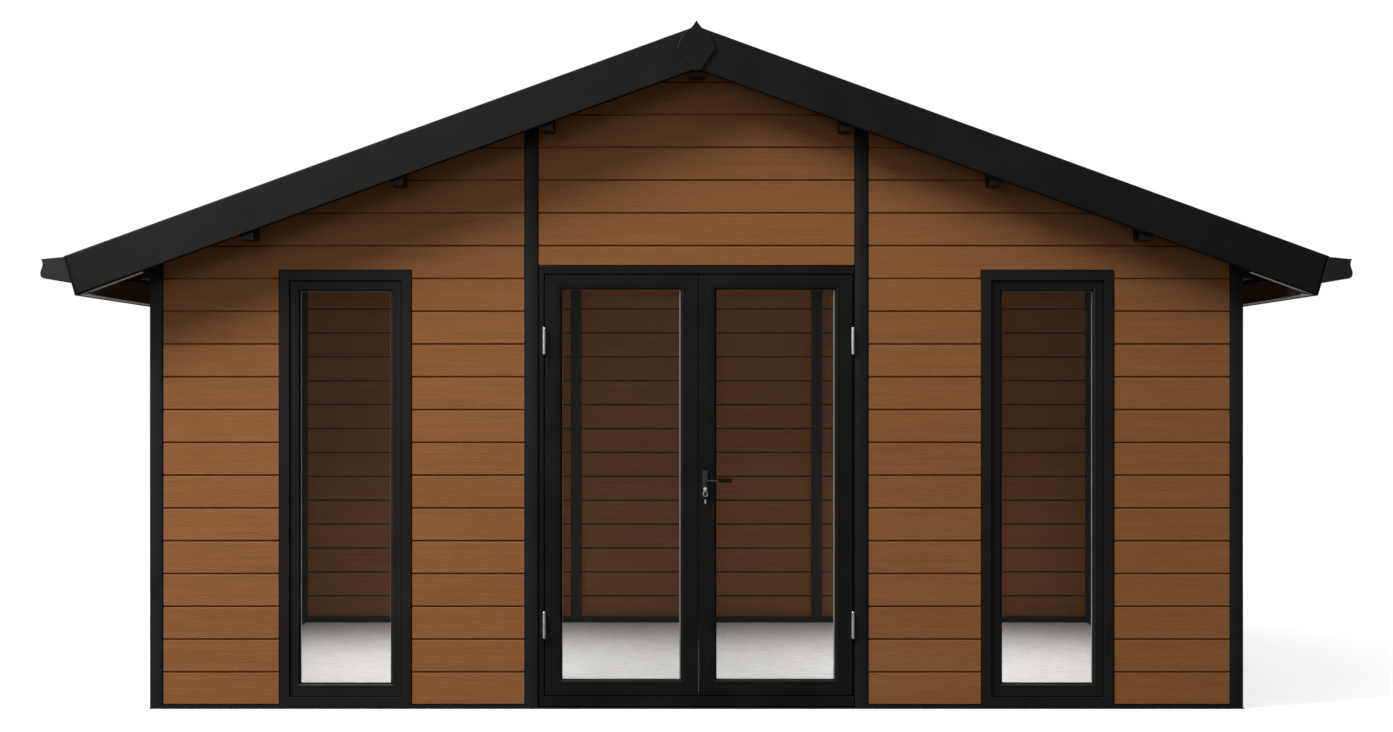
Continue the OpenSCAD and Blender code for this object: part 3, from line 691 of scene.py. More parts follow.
# %% Shape the outer window frames
WINDOW_BAR, WINDOW_EDGE = 0.045, 0.0018
for side, hand in SIDES:
    low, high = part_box(f"window_frame_{hand}")
    profile = [(0, 0, low.y), (1, 0, low.y), (1, 0, high.y), (0, 0, high.y)]
    ring = soften(mitred_frame(low, high, profile, (WINDOW_BAR,) * 4), WINDOW_EDGE, 2)
    finish_piece(f"window_frame_{hand}_mitred", ring, frame_coat, crease=20,
                 replaces=(f"window_frame_{hand}",))


# %% Shape a glazed frame with its bead, rubber and pane
BEAD, BEAD_STEP = 0.016, 0.0018
EASE = 0.0015
PANE_THICK, SHEET_THICK = 0.024, 0.004
PANE_GROOVE, GLASS_PLAY = 0.012, 0.002
SPACER_IN = 0.008
REBATE_BACK = 0.006


def pane_faces(frame_low, frame_high, inwards=0.0):
    """Where a pane's two faces lie in Y, or two planes that far inside them."""
    middle, half = (frame_low.y + frame_high.y) / 2, PANE_THICK / 2 - inwards
    return middle - half, middle + half


def glazed_profile(low, high, reveal):
    """The section of a sash or a leaf, from its outer edge to the pane and back."""
    front, back = low.y, high.y
    near, far = pane_faces(low, high)
    return [(0, reveal, front + EASE), (0, reveal + EASE, front), (1, -BEAD - EASE, front),
            (1, -BEAD - 0.0012, front + BEAD_STEP), (1, -BEAD + 0.0004, front + BEAD_STEP),
            (1, -BEAD + 0.0008, front), (1, -0.006, front + 0.0006), (1, -0.002, front + 0.0028),
            (1, 0, near - EASE), (1, 0, near), (1, -PANE_GROOVE, near), (1, -PANE_GROOVE, far),
            (1, 0, far), (1, 0, back - 0.0035), (1, -0.0035, back), (0, reveal + EASE, back),
            (0, reveal, back - EASE)]


def rebate_rubber(width, front, back):
    """The section of the rubber that fills the line round a sash or a door frame."""
    return [(0, 0, front), (0, width, front), (0, width, back), (0, 0, back)]


def glazing(low, high, widths, spacer_out):
    """The two rubber lips, the spacer and the two sheets of glass of one pane."""
    near, far = pane_faces(low, high)
    lips = bmesh.new()
    for section in ([(1, -0.001, near - 0.0035), (1, 0.0015, near - 0.0030),
                     (1, 0.0045, near - 0.0004), (1, 0.0045, near), (1, -0.001, near)],
                    [(1, -0.001, far), (1, 0.0045, far), (1, 0.0045, far + 0.0004),
                     (1, 0.0015, far + 0.0030), (1, -0.001, far + 0.0035)]):
        pour(lips, mitred_frame(low, high, section, widths))
    inner_near, inner_far = pane_faces(low, high, SHEET_THICK)
    spacer = mitred_frame(low, high, [(1, -SPACER_IN, inner_near), (1, spacer_out, inner_near),
                                      (1, spacer_out, inner_far), (1, -SPACER_IN, inner_far)], widths)
    left, right, head, foot = (width - PANE_GROOVE + GLASS_PLAY for width in widths)
    glass_sheets = bmesh.new()
    for y in (near, inner_far):
        pour(glass_sheets, bar((low.x + left, y, low.z + foot),
                               (high.x - right, y + SHEET_THICK, high.z - head)))
    return lips, spacer, glass_sheets


print("A pane is", PANE_THICK * 1000, "mm thick.")

# %% Glaze the windows
SASH_WIDTHS = (0.046, 0.046, 0.046, 0.060)
SASH_REVEAL, SASH_SPACER = 0.0025, 0.0058
sash_low, sash_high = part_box("window_sashes")
sashes, sash_rubber, sash_spacers, window_panes = (bmesh.new() for _ in range(4))
for side in (-1, 1):
    near, far = on_side(side, window_low.x + WINDOW_BAR, window_high.x - WINDOW_BAR)
    low, high = Vector((near, *sash_low.yz)), Vector((far, *sash_high.yz))
    pour(sashes, mitred_frame(low, high, glazed_profile(low, high, SASH_REVEAL), SASH_WIDTHS))
    lips, spacer, panes = glazing(low, high, SASH_WIDTHS, SASH_SPACER)
    pour(sash_rubber, lips)
    pour(sash_rubber, mitred_frame(low, high, rebate_rubber(SASH_REVEAL, low.y + REBATE_BACK, high.y),
                                   SASH_WIDTHS))
    pour(sash_spacers, spacer)
    pour(window_panes, panes)
finish_piece("window_sashes_beaded", sashes, frame_coat, crease=20,
             replaces=("window_sashes",))
finish_piece("window_rubbers", sash_rubber, gasket_rubber)
finish_piece("window_spacers", sash_spacers, spacer_metal)
finish_piece("window_panes", window_panes, glass, replaces=("window_glass",))

# %% [markdown]
# ## Doors
#
# The two leaves are made just like the window sashes, only heavier. The leaves ride on their own
# bodies, so they swing on the hinges of the plain model. A leaf's meeting edge is planed back
# towards the room, which lets one leaf pass the other as it swings. A rubber lip on each leaf
# closes the gap there, and a seal runs round the stop of the frame. Along a leaf's right-hand edge
# a wider strip of pale metal lies between the sheets of glass. It is a painted highlight, where
# the light from the left catches the edge of the pane.

# %% Build the door frame and its seal
door_low, door_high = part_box("door_frame")
leaf_low, leaf_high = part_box("door_leaf_left")
other_low, other_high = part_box("door_leaf_right")
AROUND = 0.005
STOP_IN, STOP_THICK = 0.015, 0.006
DOOR_LINE, DOOR_EDGE = 0.0035, 0.0016
door_widths = (leaf_low.x - AROUND - door_low.x, door_high.x - other_high.x - AROUND,
               door_high.z - leaf_high.z - AROUND, leaf_low.z - AROUND - door_low.z)
stop_face = door_high.y - STOP_THICK
section = [(0, DOOR_LINE, door_low.y), (1, 0, door_low.y), (1, 0, stop_face), (1, STOP_IN, stop_face),
           (1, STOP_IN, door_high.y), (0, DOOR_LINE, door_high.y)]
surround = soften(mitred_frame(door_low, door_high, section, door_widths), DOOR_EDGE, 2)
finish_piece("door_frame_mitred", surround, door_coat, crease=20, replaces=("door_frame",))
seal_section = [(1, 0.004, stop_face), (1, 0.0045, stop_face - 0.003), (1, 0.0075, stop_face - 0.0042),
                (1, 0.0105, stop_face - 0.003), (1, 0.011, stop_face)]
seal = mitred_frame(door_low, door_high, seal_section, door_widths)
line = rebate_rubber(DOOR_LINE, door_low.y + REBATE_BACK, door_high.y - 0.002)
pour(seal, mitred_frame(door_low, door_high, line, door_widths))
finish_piece("door_frame_seal", seal, gasket_rubber, crease=35)

# %% Build the two leaves
LEAF_WIDTHS = (0.0745, 0.076, 0.064, 0.070)
PLANED = 0.003
HIGHLIGHT_STRIP, LEAF_SPACER = 0.0100, 0.0048
for hand, low, high, meeting, side in (("left", leaf_low, leaf_high, leaf_high.x, 1),
                                       ("right", other_low, other_high, other_low.x, -1)):
    body = f"{hand}_door"
    leaf = mitred_frame(low, high, glazed_profile(low, high, 0), LEAF_WIDTHS)
    lean = math.atan2(PLANED, high.y - low.y)
    saw(leaf, Vector((meeting, low.y, 0)), Vector((side * math.cos(lean), math.sin(lean), 0)))
    finish_piece(f"door_leaf_{hand}_beaded", leaf, door_coat, body, crease=20,
                 replaces=(f"door_leaf_{hand}",))
    lips, spacer, panes = glazing(low, high, LEAF_WIDTHS, LEAF_SPACER)
    near, far = sorted((meeting - side * 0.0010, meeting + side * 0.0024))
    pour(lips, bar((near, low.y + 0.0015, low.z + 0.0005), (far, low.y + 0.0040, high.z - 0.0005), 0.0006, 2))
    finish_piece(f"door_rubbers_{hand}", lips, gasket_rubber, body)
    near, far = pane_faces(low, high, SHEET_THICK)
    # A wider strip of pale metal along the right-hand edge only is a painted highlight, where the light from
    # the left catches the pane's edge.
    highlight_x = high.x - LEAF_WIDTHS[1]
    pour(spacer, bar((highlight_x - HIGHLIGHT_STRIP, near, low.z + LEAF_WIDTHS[3] - 0.002),
                     (highlight_x - 0.002, far, high.z - LEAF_WIDTHS[2] + 0.002), 0.0004))
    finish_piece(f"door_spacers_and_highlights_{hand}", spacer, spacer_metal, body)
    finish_piece(f"door_panes_{hand}", panes, glass, body, replaces=(f"door_glass_{hand}",))

# %% [markdown]
# ## Hinges
#
# Each leaf hangs on two barrel hinges. The barrel is three knuckles on one pin. The outer two
# belong to the frame and the middle one to the leaf, so they are made as three pieces that ride on
# three bodies. A turned cap closes the barrel at each end.

# %% Turn the hinge knuckles
hinge_low, hinge_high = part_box("door_hinges")
BARREL, PIN = 0.014, 0.0079
KNUCKLE, KNUCKLE_GAP = 0.039, 0.001
HINGE_HIGH = 3 * KNUCKLE + 2 * KNUCKLE_GAP
HINGE_Y = hinge_low.y + BARREL / 2
WEB_START = 0.0025
CAP_RINGS = ((0.0115, -0.0005, 0.0015), (0.0070, 0.0015, 0.0025))


def turned(x, y, z0, z1, diameter, rim=0.001, sides=28):
    """A rod standing on its end, with both rims eased."""
    part = bmesh.new()
    place = Matrix.Translation((x, y, (z0 + z1) / 2))
    bmesh.ops.create_cone(part, cap_ends=True, segments=sides, radius1=diameter / 2,
                          radius2=diameter / 2, depth=z1 - z0, matrix=place)
    return soften(part, rim, 2)


def hinge_knuckle(into, x, z, side):
    """One knuckle and its web back to the metal it is screwed to."""
    pour(into, turned(x, HINGE_Y, z, z + KNUCKLE, BARREL))
    near, far = sorted((x + side * WEB_START, x + side * BARREL / 2))
    pour(into, bar((near, HINGE_Y, z), (far, door_low.y, z + KNUCKLE), 0.0006))


fixed = bmesh.new()
for (side, hand), x in zip(SIDES, (hinge_low.x + BARREL / 2, hinge_high.x - BARREL / 2)):
    moving = bmesh.new()
    for foot in (hinge_low.z, hinge_high.z - HINGE_HIGH):
        top = foot + HINGE_HIGH
        hinge_knuckle(fixed, x, foot, side)
        hinge_knuckle(fixed, x, top - KNUCKLE, side)
        pour(fixed, turned(x, HINGE_Y, foot + 0.002, top - 0.002, PIN))
        for cap_z, rise in ((foot, -1), (top, 1)):
            for width, start, end in CAP_RINGS:
                ends = sorted((cap_z + rise * start, cap_z + rise * end))
                pour(fixed, turned(x, HINGE_Y, *ends, width, 0.0008))
        hinge_knuckle(moving, x, foot + KNUCKLE + KNUCKLE_GAP, -side)
    finish_piece(f"hinge_knuckles_{hand}", moving, hinge_metal, f"{hand}_door", crease=20,
                 replaces=(f"door_knuckles_{hand}",))
finish_piece("hinge_barrels", fixed, hinge_metal, crease=20, replaces=("door_hinges",))

# %% [markdown]
# ## Handle, lock and keys
#
# The handle is a slim plate on each side of the leaf with a lever through it. A lever is
# comfortable because it has no edges, so its arm is a bar with edges rounded almost to a full
# oval, in a rubber sleeve where the hand holds it. The lock cylinder is turned and has a key in
# it, and a spare key hangs from that one on a ring.

# %% Make the plates and the lock
plate_low, plate_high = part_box("handle_plates")
lever_low, lever_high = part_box("door_lever")
lock_low, lock_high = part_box("lock_cylinder")
PLATE_THICK, COLLAR = 0.008, 0.0205
handle_x = (plate_low.x + plate_high.x) / 2
lock_z = (lock_low.z + lock_high.z) / 2
lever_z = (lever_low.z + lever_high.z) / 2


def turned_through(x, z, y0, y1, diameter, rim=0.001, sides=32):
    """A rod lying along Y, with both rims eased."""
    part = turned(0, 0, y0, y1, diameter, rim, sides)
    bmesh.ops.rotate(part, verts=part.verts, matrix=Matrix.Rotation(math.radians(-90), 3, "X"))
    bmesh.ops.translate(part, verts=part.verts, vec=(x, 0, z))
    return part


plates = bmesh.new()
for y in (plate_low.y, plate_high.y - PLATE_THICK):
    pour(plates, bar((plate_low.x, y, plate_low.z), (plate_high.x, y + PLATE_THICK, plate_high.z),
                     0.0026, segments=4))
for y0, y1 in ((plate_low.y - 0.0008, plate_low.y + 0.001), (plate_high.y - 0.001, plate_high.y + 0.0008)):
    pour(plates, turned_through(handle_x, lever_z, y0, y1, COLLAR, 0.0005))
finish_piece("handle_plates_rounded", plates, handle_coat, "right_door", crease=20,
             replaces=("handle_plates",))

cylinder = turned_through(handle_x, lock_z, lock_low.y, lock_high.y, lock_high.z - lock_low.z, 0.0012)
finish_piece("lock_cylinder_turned", cylinder, lock_metal, "right_door", crease=20,
             replaces=("lock_cylinder",))

# %% Cut the keys
key_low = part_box("door_key")[0]
KEY_THICK = 0.0024
BOW, SPARE_BOW, HOLE_SHARE = 0.022, 0.018, 0.34
RING, RING_LAP = 0.022, 0.002
TEETH, TOOTH_PITCH = 4, 0.005
QUARTER_X, QUARTER_Z = (Matrix.Rotation(math.radians(90), 3, axis) for axis in "XZ")
bow_y = key_low.y + BOW / 2


def key_bow(width):
    """The round head of a key, lying in X and Z round the middle, with its hole."""
    key = bmesh.new()
    bmesh.ops.create_circle(key, segments=28, radius=width / 2, cap_ends=True)
    disc = key.faces[:][0]
    bmesh.ops.inset_region(key, faces=[disc], thickness=width * HOLE_SHARE)
    bmesh.ops.delete(key, geom=[disc], context="FACES")
    bmesh.ops.rotate(key, verts=key.verts, matrix=QUARTER_X)
    grown = bmesh.ops.extrude_face_region(key, geom=key.faces[:])
    bmesh.ops.translate(key, vec=(0, KEY_THICK, 0), verts=new_verts(grown))
    bmesh.ops.translate(key, verts=key.verts, vec=(0, -KEY_THICK / 2, 0))
    return soften(key, 0.0004)


keys = bmesh.new()
turned_key = key_bow(BOW)
bmesh.ops.rotate(turned_key, verts=turned_key.verts, matrix=QUARTER_Z)
bmesh.ops.translate(turned_key, verts=turned_key.verts, vec=(handle_x, bow_y, lock_z))
pour(keys, turned_key)
pour(keys, bar((handle_x - KEY_THICK / 2, bow_y + BOW * 0.42, lock_z - 0.004),
               (handle_x + KEY_THICK / 2, lock_low.y + 0.002, lock_z + 0.004), 0.0003))
print("The key in the lock has", len(keys.faces), "faces.")

# %% Hang the ring and the spare key
ring_z = lock_z - BOW / 2 - RING / 2 + RING_LAP
ring = bmesh.new()
bmesh.ops.create_circle(ring, segments=10, radius=KEY_THICK / 3,
                        matrix=Matrix.Translation((RING / 2, 0, 0)) @ QUARTER_X.to_4x4())
bmesh.ops.spin(ring, geom=ring.verts[:] + ring.edges[:], cent=(0, 0, 0), axis=(0, 0, 1), dvec=(0, 0, 0),
               angle=math.radians(360), steps=36, use_merge=True)
bmesh.ops.remove_doubles(ring, verts=ring.verts, dist=1e-6)
bmesh.ops.rotate(ring, verts=ring.verts, matrix=QUARTER_X)
bmesh.ops.translate(ring, verts=ring.verts, vec=(handle_x, bow_y, ring_z))
pour(keys, ring)

spare_z = ring_z - RING / 2 - BOW / 2 + 2 * RING_LAP
blade_foot = key_low.z - spare_z
spare = key_bow(SPARE_BOW)
pour(spare, bar((-0.0030, -KEY_THICK / 2, blade_foot), (0.0030, KEY_THICK / 2, -SPARE_BOW * 0.42), 0.0003))
for tooth in range(TEETH):
    z = blade_foot + 0.0030 + tooth * TOOTH_PITCH
    pour(spare, bar((-0.0042, -KEY_THICK / 2, z), (-0.0024, KEY_THICK / 2, z + 0.0024), 0.0002))
bmesh.ops.translate(spare, verts=spare.verts, vec=(handle_x, bow_y + KEY_THICK / 2, spare_z))
pour(keys, spare)
finish_piece("keys", keys, lock_metal, "right_door", crease=20, replaces=("door_key",))

# %% Shape the lever
LEVER_NECK, SPINDLE = 0.016, 0.008
ARM_THICK = 0.010
lever, grips = bmesh.new(), bmesh.new()
grip_x = (handle_x + lever_high.x) / 2 - 0.004
for outer, out, plate_face in ((lever_low.y, -1, plate_low.y), (lever_high.y, 1, plate_high.y)):
    y0, y1 = sorted((outer - out * 0.0002, plate_face + out * 0.001))
    pour(lever, turned_through(handle_x, lever_z, y0, y1, LEVER_NECK, 0.0016))
    y0, y1 = sorted((outer, outer - out * ARM_THICK))
    pour(lever, bar((handle_x - LEVER_NECK / 2, y0 + 0.001, lever_low.z + 0.004),
                    (grip_x + 0.004, y1 - 0.001, lever_high.z - 0.004), 0.0034, segments=5))
    pour(grips, bar((grip_x, y0, lever_low.z + 0.001), (lever_high.x, y1, lever_high.z - 0.001),
                    0.0044, segments=5))
pour(lever, turned_through(handle_x, lever_z, lever_low.y + 0.012, lever_high.y - 0.012, SPINDLE))
finish_piece("door_lever_grips", grips, gasket_rubber, "lever")
finish_piece("door_lever_rounded", lever, handle_coat, "lever", crease=20,
             replaces=("door_lever",))

# %% [markdown]
# ## Roof frame and gable trim
#
# Under the roof run six purlins and a ridge beam, which stick out past the gable to carry the
# bargeboards. A bargeboard is a folded face on a darker core of black rubber. The black core is
# painted shade: it shows as a thin dark line along both edges and at the foot, where the real
# board's edges fall into shade. A kite-shaped plate covers the mitre at the ridge.

# %% Frame the roof
beam_low, beam_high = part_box("ridge_beam")
purlin_low, purlin_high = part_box("purlins")
PURLIN, BEAM_EDGE = 0.060, 0.002


def sloped_beam(x0, x1, foot, y0, y1):
    """A beam along Y with its head planed to the roof's slope on the side it stands."""
    return saw_to_roof(bar((x0, y0, foot), (x1, y1, UNDER_APEX), BEAM_EDGE, 1))


ribs = sloped_beam(beam_low.x, beam_high.x, beam_low.z, beam_low.y, beam_high.y)
purlin_pitch = (purlin_high.x - PURLIN / 2) / 3
purlin_xs = [step * purlin_pitch for step in (1, 2, 3)]
purlin_depth = slope_height(UNDER_APEX, purlin_xs[2]) - purlin_low.z
for x in purlin_xs:
    foot = slope_height(UNDER_APEX, x) - purlin_depth
    for side in (-1, 1):
        x0, x1 = on_side(side, x - PURLIN / 2, x + PURLIN / 2)
        pour(ribs, sloped_beam(x0, x1, foot, purlin_low.y, purlin_high.y))
finish_piece("purlins_and_ridge_beam", ribs, frame_coat, crease=20,
             replaces=("ridge_beam", "purlins"))

# %% Cut the bargeboards
barge_low, barge_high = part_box("bargeboards_front")
BARGE_JOINT = 0.001
BARGE_APEX = barge_high.z + ROOF_RISE * BARGE_JOINT
EAVE_X = barge_high.x
FASCIA_LEAN = math.radians(16)
TILT = math.tan(FASCIA_LEAN)
BARGE_FOOT_X = EAVE_X - TILT * (slope_height(BARGE_APEX, EAVE_X) - barge_low.z)
BARGE_FOOT_APEX = barge_low.z + ROOF_RISE * BARGE_FOOT_X
EDGE_LINE, EDGE_STEP, END_LINE = 0.0050 * UPRIGHT, 0.004, 0.012


def gable_strip(side, top_apex, foot_apex, y0, y1, inset=0.0):
    """A strip that follows one slope from the ridge to the eave, its end cut to the fascia's tilt."""
    def end_x(apex):
        return EAVE_X - inset - (EAVE_X - BARGE_FOOT_X) * (BARGE_APEX - apex) / (BARGE_APEX - BARGE_FOOT_APEX)

    return pushed([on_slope(side, BARGE_JOINT, foot_apex), on_slope(side, end_x(foot_apex), foot_apex),
                   on_slope(side, end_x(top_apex), top_apex), on_slope(side, BARGE_JOINT, top_apex)], y0, y1)


for end, out in (("front", -1), ("back", 1)):
    low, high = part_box(f"bargeboards_{end}")
    outer, inner = (low.y, high.y) if out < 0 else (high.y, low.y)
    faces, shade_cores = bmesh.new(), bmesh.new()
    for side in (-1, 1):
        strip = gable_strip(side, BARGE_APEX - EDGE_LINE, BARGE_FOOT_APEX + EDGE_LINE,
                            *sorted((outer, outer - out * 2 * EDGE_STEP)), inset=END_LINE)
        pour(faces, soften(strip, 0.0012))
        # The core is black rubber as painted shade: it draws the dark lines along the board's edges and foot.
        pour(shade_cores, gable_strip(side, BARGE_APEX, BARGE_FOOT_APEX, *sorted((outer - out * EDGE_STEP, inner))))
    finish_piece(f"bargeboards_{end}_folded", faces, trim_coat, crease=20,
                 replaces=(f"bargeboards_{end}",))
    finish_piece(f"bargeboard_shade_cores_{end}", shade_cores, gasket_rubber, crease=20)

# %% Cut the kite plates
plates_low, plates_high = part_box("ridge_plates")
KITE_THICK, KITE_EDGE = 0.008, 0.0022
BARGE_DEEP = 0.184
kite_wide, tip_z, kite_foot = plates_high.x, plates_high.z, plates_low.z
belly_z = BARGE_APEX - 0.55 * BARGE_DEEP


def curve(start, leave, arrive, end, count):
    """Points in X and Z along a smooth curve with two handles."""
    handles = [Vector((x, 0, z)) for x, z in (start, leave, arrive, end)]
    return [(point.x, point.z) for point in interpolate_bezier(*handles, count)]


neck = (0.027, BARGE_APEX - 0.011)
half_kite = curve((0.0015, tip_z), (0.009, tip_z - 0.012), (0.017, BARGE_APEX - 0.003), neck, 8)
half_kite += curve(neck, (0.052, BARGE_APEX - 0.021), (0.072, belly_z + 0.050),
                   (kite_wide, belly_z + 0.003), 9)[1:]
half_kite += [(kite_wide, belly_z - 0.003)]
half_kite += curve((0.029, kite_foot + 0.014), (0.022, kite_foot + 0.002), (0.018, kite_foot),
                   (0.010, kite_foot), 6)
kite_outline = half_kite + [(-x, z) for x, z in reversed(half_kite)]
kites = bmesh.new()
for y in (plates_low.y, plates_high.y - KITE_THICK):
    pour(kites, soften(pushed(kite_outline, y, y + KITE_THICK), KITE_EDGE, 3))
finish_piece("ridge_plates_curved", kites, trim_coat, crease=12, replaces=("ridge_plates",))

# %% [markdown]
# ## Roof sheets
#
# The roof is insulated panel: a flat core with a ribbed steel sheet on top. Seen from above, the
# ribs are what says metal roof, so they are real folds here. One rib section is repeated along
# the building, pushed down the slope and sheared to the pitch. The sheets run a little past the
# fascia into the gutter. Each sheet is screwed through its ribs into every purlin.

# %% Fold the roof sheets
roof_low, roof_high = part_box("roof_panel_right")
RIB_COUNT, RIB_HIGH = 13, 0.024
RIB_FOOT, RIB_HEAD = 0.070, 0.032
RIB_PITCH = (roof_high.y - roof_low.y) / RIB_COUNT
SHEET_METAL, SHEET_PAST = 0.0012, 0.020
CORE_TOP = ROOF_APEX - RIB_HIGH * UPRIGHT
core_foot, core_head = UNDER_APEX + 0.0003, CORE_TOP - 0.002
rib_ys = [roof_low.y + (rib + 0.5) * RIB_PITCH for rib in range(RIB_COUNT)]
rib_line = [(roof_low.y + 0.0005, 0)]
for y in rib_ys:
    rib_line += [(y - RIB_FOOT / 2, 0), (y - RIB_HEAD / 2, RIB_HIGH),
                 (y + RIB_HEAD / 2, RIB_HIGH), (y + RIB_FOOT / 2, 0)]
rib_line += [(roof_high.y - 0.0005, 0)]
rib_section = [(y, z - SHEET_METAL) for y, z in rib_line] + rib_line[::-1]


def down_the_slope(part, side):
    """Shear a flat piece that runs out from the ridge to the roof's pitch."""
    lean = Matrix(((side, 0, 0, 0), (0, 1, 0, 0), (-ROOF_RISE, 0, UPRIGHT, CORE_TOP), (0, 0, 0, 1)))
    bmesh.ops.transform(part, matrix=lean, verts=part.verts)
    return part


for side, hand in SIDES:
    sheet = down_the_slope(pushed(rib_section, 0.002, EAVE_X + SHEET_PAST, along=0), side)
    core = [(side * 0.0005, core_foot), on_slope(side, roof_high.x - 0.022, core_foot),
            on_slope(side, roof_high.x - 0.008, core_head), (side * 0.0005, core_head)]
    pour(sheet, pushed(core, roof_low.y, roof_high.y))
    finish_piece(f"roof_sheet_{hand}", sheet, sheet_coat, replaces=(f"roof_panel_{hand}",))

# %% Drive the roof screws
SCREW_TOP_X, SCREW_FOOT_X = 0.16, 2.49
SCREW_PARTS = ((0.009, 0.0016, 12, 0.0008), (0.0052, 0.0055, 6, 0.0040))
screws = bmesh.new()
for side in (-1, 1):
    tilt = Matrix.Rotation(side * ROOF_SLOPE, 4, "Y")
    for x in [SCREW_TOP_X, *purlin_xs, SCREW_FOOT_X]:
        for y in rib_ys:
            place = Matrix.Translation((side * x, y, slope_height(ROOF_APEX, x)))
            for radius, depth, corners, lift in SCREW_PARTS:
                bmesh.ops.create_cone(screws, cap_ends=True, segments=corners, radius1=radius,
                                      radius2=radius * 0.92, depth=depth,
                                      matrix=place @ tilt @ Matrix.Translation((0, 0, lift)))
finish_piece("roof_screws", screws, trim_coat)

# %% Fold the ridge cap
cap_low, cap_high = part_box("ridge_cap")
CAP_METAL, CAP_HEM = 0.0022 * UPRIGHT, 0.0012
CAP_APEX = ROOF_APEX + 0.0004
FILLER_FROM, FILLER_TO, FILLER_PLAY = 0.105, 0.122, 0.004
cap_half = [(x, slope_height(CAP_APEX, x) + lift) for x, lift in (
    (0, 0), (cap_high.x, 0), (cap_high.x, CAP_METAL + CAP_HEM), (cap_high.x - 0.010, CAP_METAL + CAP_HEM),
    (cap_high.x - 0.013, CAP_METAL), (0.006, CAP_METAL))]
cap_outline = cap_half + [(-x, z) for x, z in reversed(cap_half[1:])]
cap = pushed(cap_outline, cap_low.y + 0.0005, cap_high.y - 0.0005)
for side in (-1, 1):
    for near, far in zip([roof_low.y] + [y + RIB_HEAD / 2 + FILLER_PLAY for y in rib_ys],
                         [y - RIB_HEAD / 2 - FILLER_PLAY for y in rib_ys] + [roof_high.y]):
        filler = bar((FILLER_FROM, near + 0.001, 0), (FILLER_TO, far - 0.001, RIB_HIGH))
        pour(cap, down_the_slope(filler, side))
finish_piece("ridge_cap_folded", cap, sheet_coat, replaces=("ridge_cap",))

# %% [markdown]
# ## Fascias and gutters
#
# Along each eave a tilted fascia carries an ogee gutter. An ogee is a double curve, hollow above
# and round below, and it is pushed along the eave as one thin shell, closed by a plate at each
# end. Straps hold the gutter's lip to the fascia every 60 cm. Behind the fascia is a pale lining,
# painted light in the shade under the eaves. Under it is a pale lip, a painted reflection of the
# ground, that also runs up the gable to the corner post.

# %% Cut the fascias
eave_low, eave_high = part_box("eaves_fascias")
FASCIA_THICK = 0.020 / math.cos(FASCIA_LEAN)
FASCIA_TOP = CORE_TOP - 0.004
LIP_DROP, LIP_DEPTH, LIP_WIDTH = 0.004, 0.038, 0.050
LINING_THICK, LINING_GAP = 0.006, 0.004
fascias, eaves_reflection_lips, painted_light_linings = bmesh.new(), bmesh.new(), bmesh.new()


def fascia_x(z, inset=0.0):
    """Distance from the middle of the fascia's outer face at a height."""
    return EAVE_X - inset - TILT * (slope_height(BARGE_APEX, EAVE_X) - z)


def meets_fascia(apex, inset=0.0):
    """The point where a slope line meets the fascia's face, closed in on in a few steps."""
    z = slope_height(apex, EAVE_X)
    for _ in range(8):
        z = slope_height(apex, fascia_x(z, inset))
    return fascia_x(z, inset), z


def along_eave(side, points, trim=0.0):
    """Push an outline the whole length of the eave on one side."""
    return pushed([(side * x, z) for x, z in points], eave_low.y + trim, eave_high.y - trim)


foot_x, foot_z = meets_fascia(BARGE_FOOT_APEX, FASCIA_THICK)
fascia = [(foot_x, foot_z), meets_fascia(BARGE_FOOT_APEX), meets_fascia(FASCIA_TOP),
          meets_fascia(FASCIA_TOP, FASCIA_THICK)]
# The pale lip is a painted reflection of the ground, along the fascia's foot and up the gable.
lip = [(foot_x - LIP_WIDTH, foot_z - LIP_DROP), (foot_x, foot_z - LIP_DROP), (foot_x, foot_z),
       (foot_x - LIP_WIDTH, foot_z)]
# The lining is a pale sheet of painted light in the shade behind the fascia.
lining = [meets_fascia(apex, FASCIA_THICK + inset) for apex, inset in (
    (BARGE_FOOT_APEX + LINING_GAP, LINING_THICK), (BARGE_FOOT_APEX + LINING_GAP, 0),
    (UNDER_APEX - LINING_GAP, 0), (UNDER_APEX - LINING_GAP, LINING_THICK))]
post_z = slope_height(BARGE_FOOT_APEX, half_post_x)
foot_line_z = slope_height(BARGE_FOOT_APEX, foot_x)
gable_reflection_lip = [(half_post_x + 0.001, post_z), (foot_x, foot_line_z), (foot_x, foot_line_z - LIP_DROP),
             (half_post_x + 0.001, post_z - LIP_DROP * 0.6)]
for side in (-1, 1):
    pour(fascias, soften(along_eave(side, fascia, 0.0003), 0.0012))
    pour(eaves_reflection_lips, soften(along_eave(side, lip), 0.0008))
    pour(painted_light_linings, along_eave(side, lining))
    for y in (eave_low.y, eave_high.y - LIP_DEPTH):
        pour(eaves_reflection_lips, pushed([(side * x, z) for x, z in gable_reflection_lip], y, y + LIP_DEPTH))
finish_piece("eaves_reflection_lips", eaves_reflection_lips, reflection_lip_coat)
finish_piece("eaves_painted_light_linings", painted_light_linings, painted_light_lining_coat)
finish_piece("eaves_fascias_folded", fascias, trim_coat, crease=20, replaces=("eaves_fascias",))

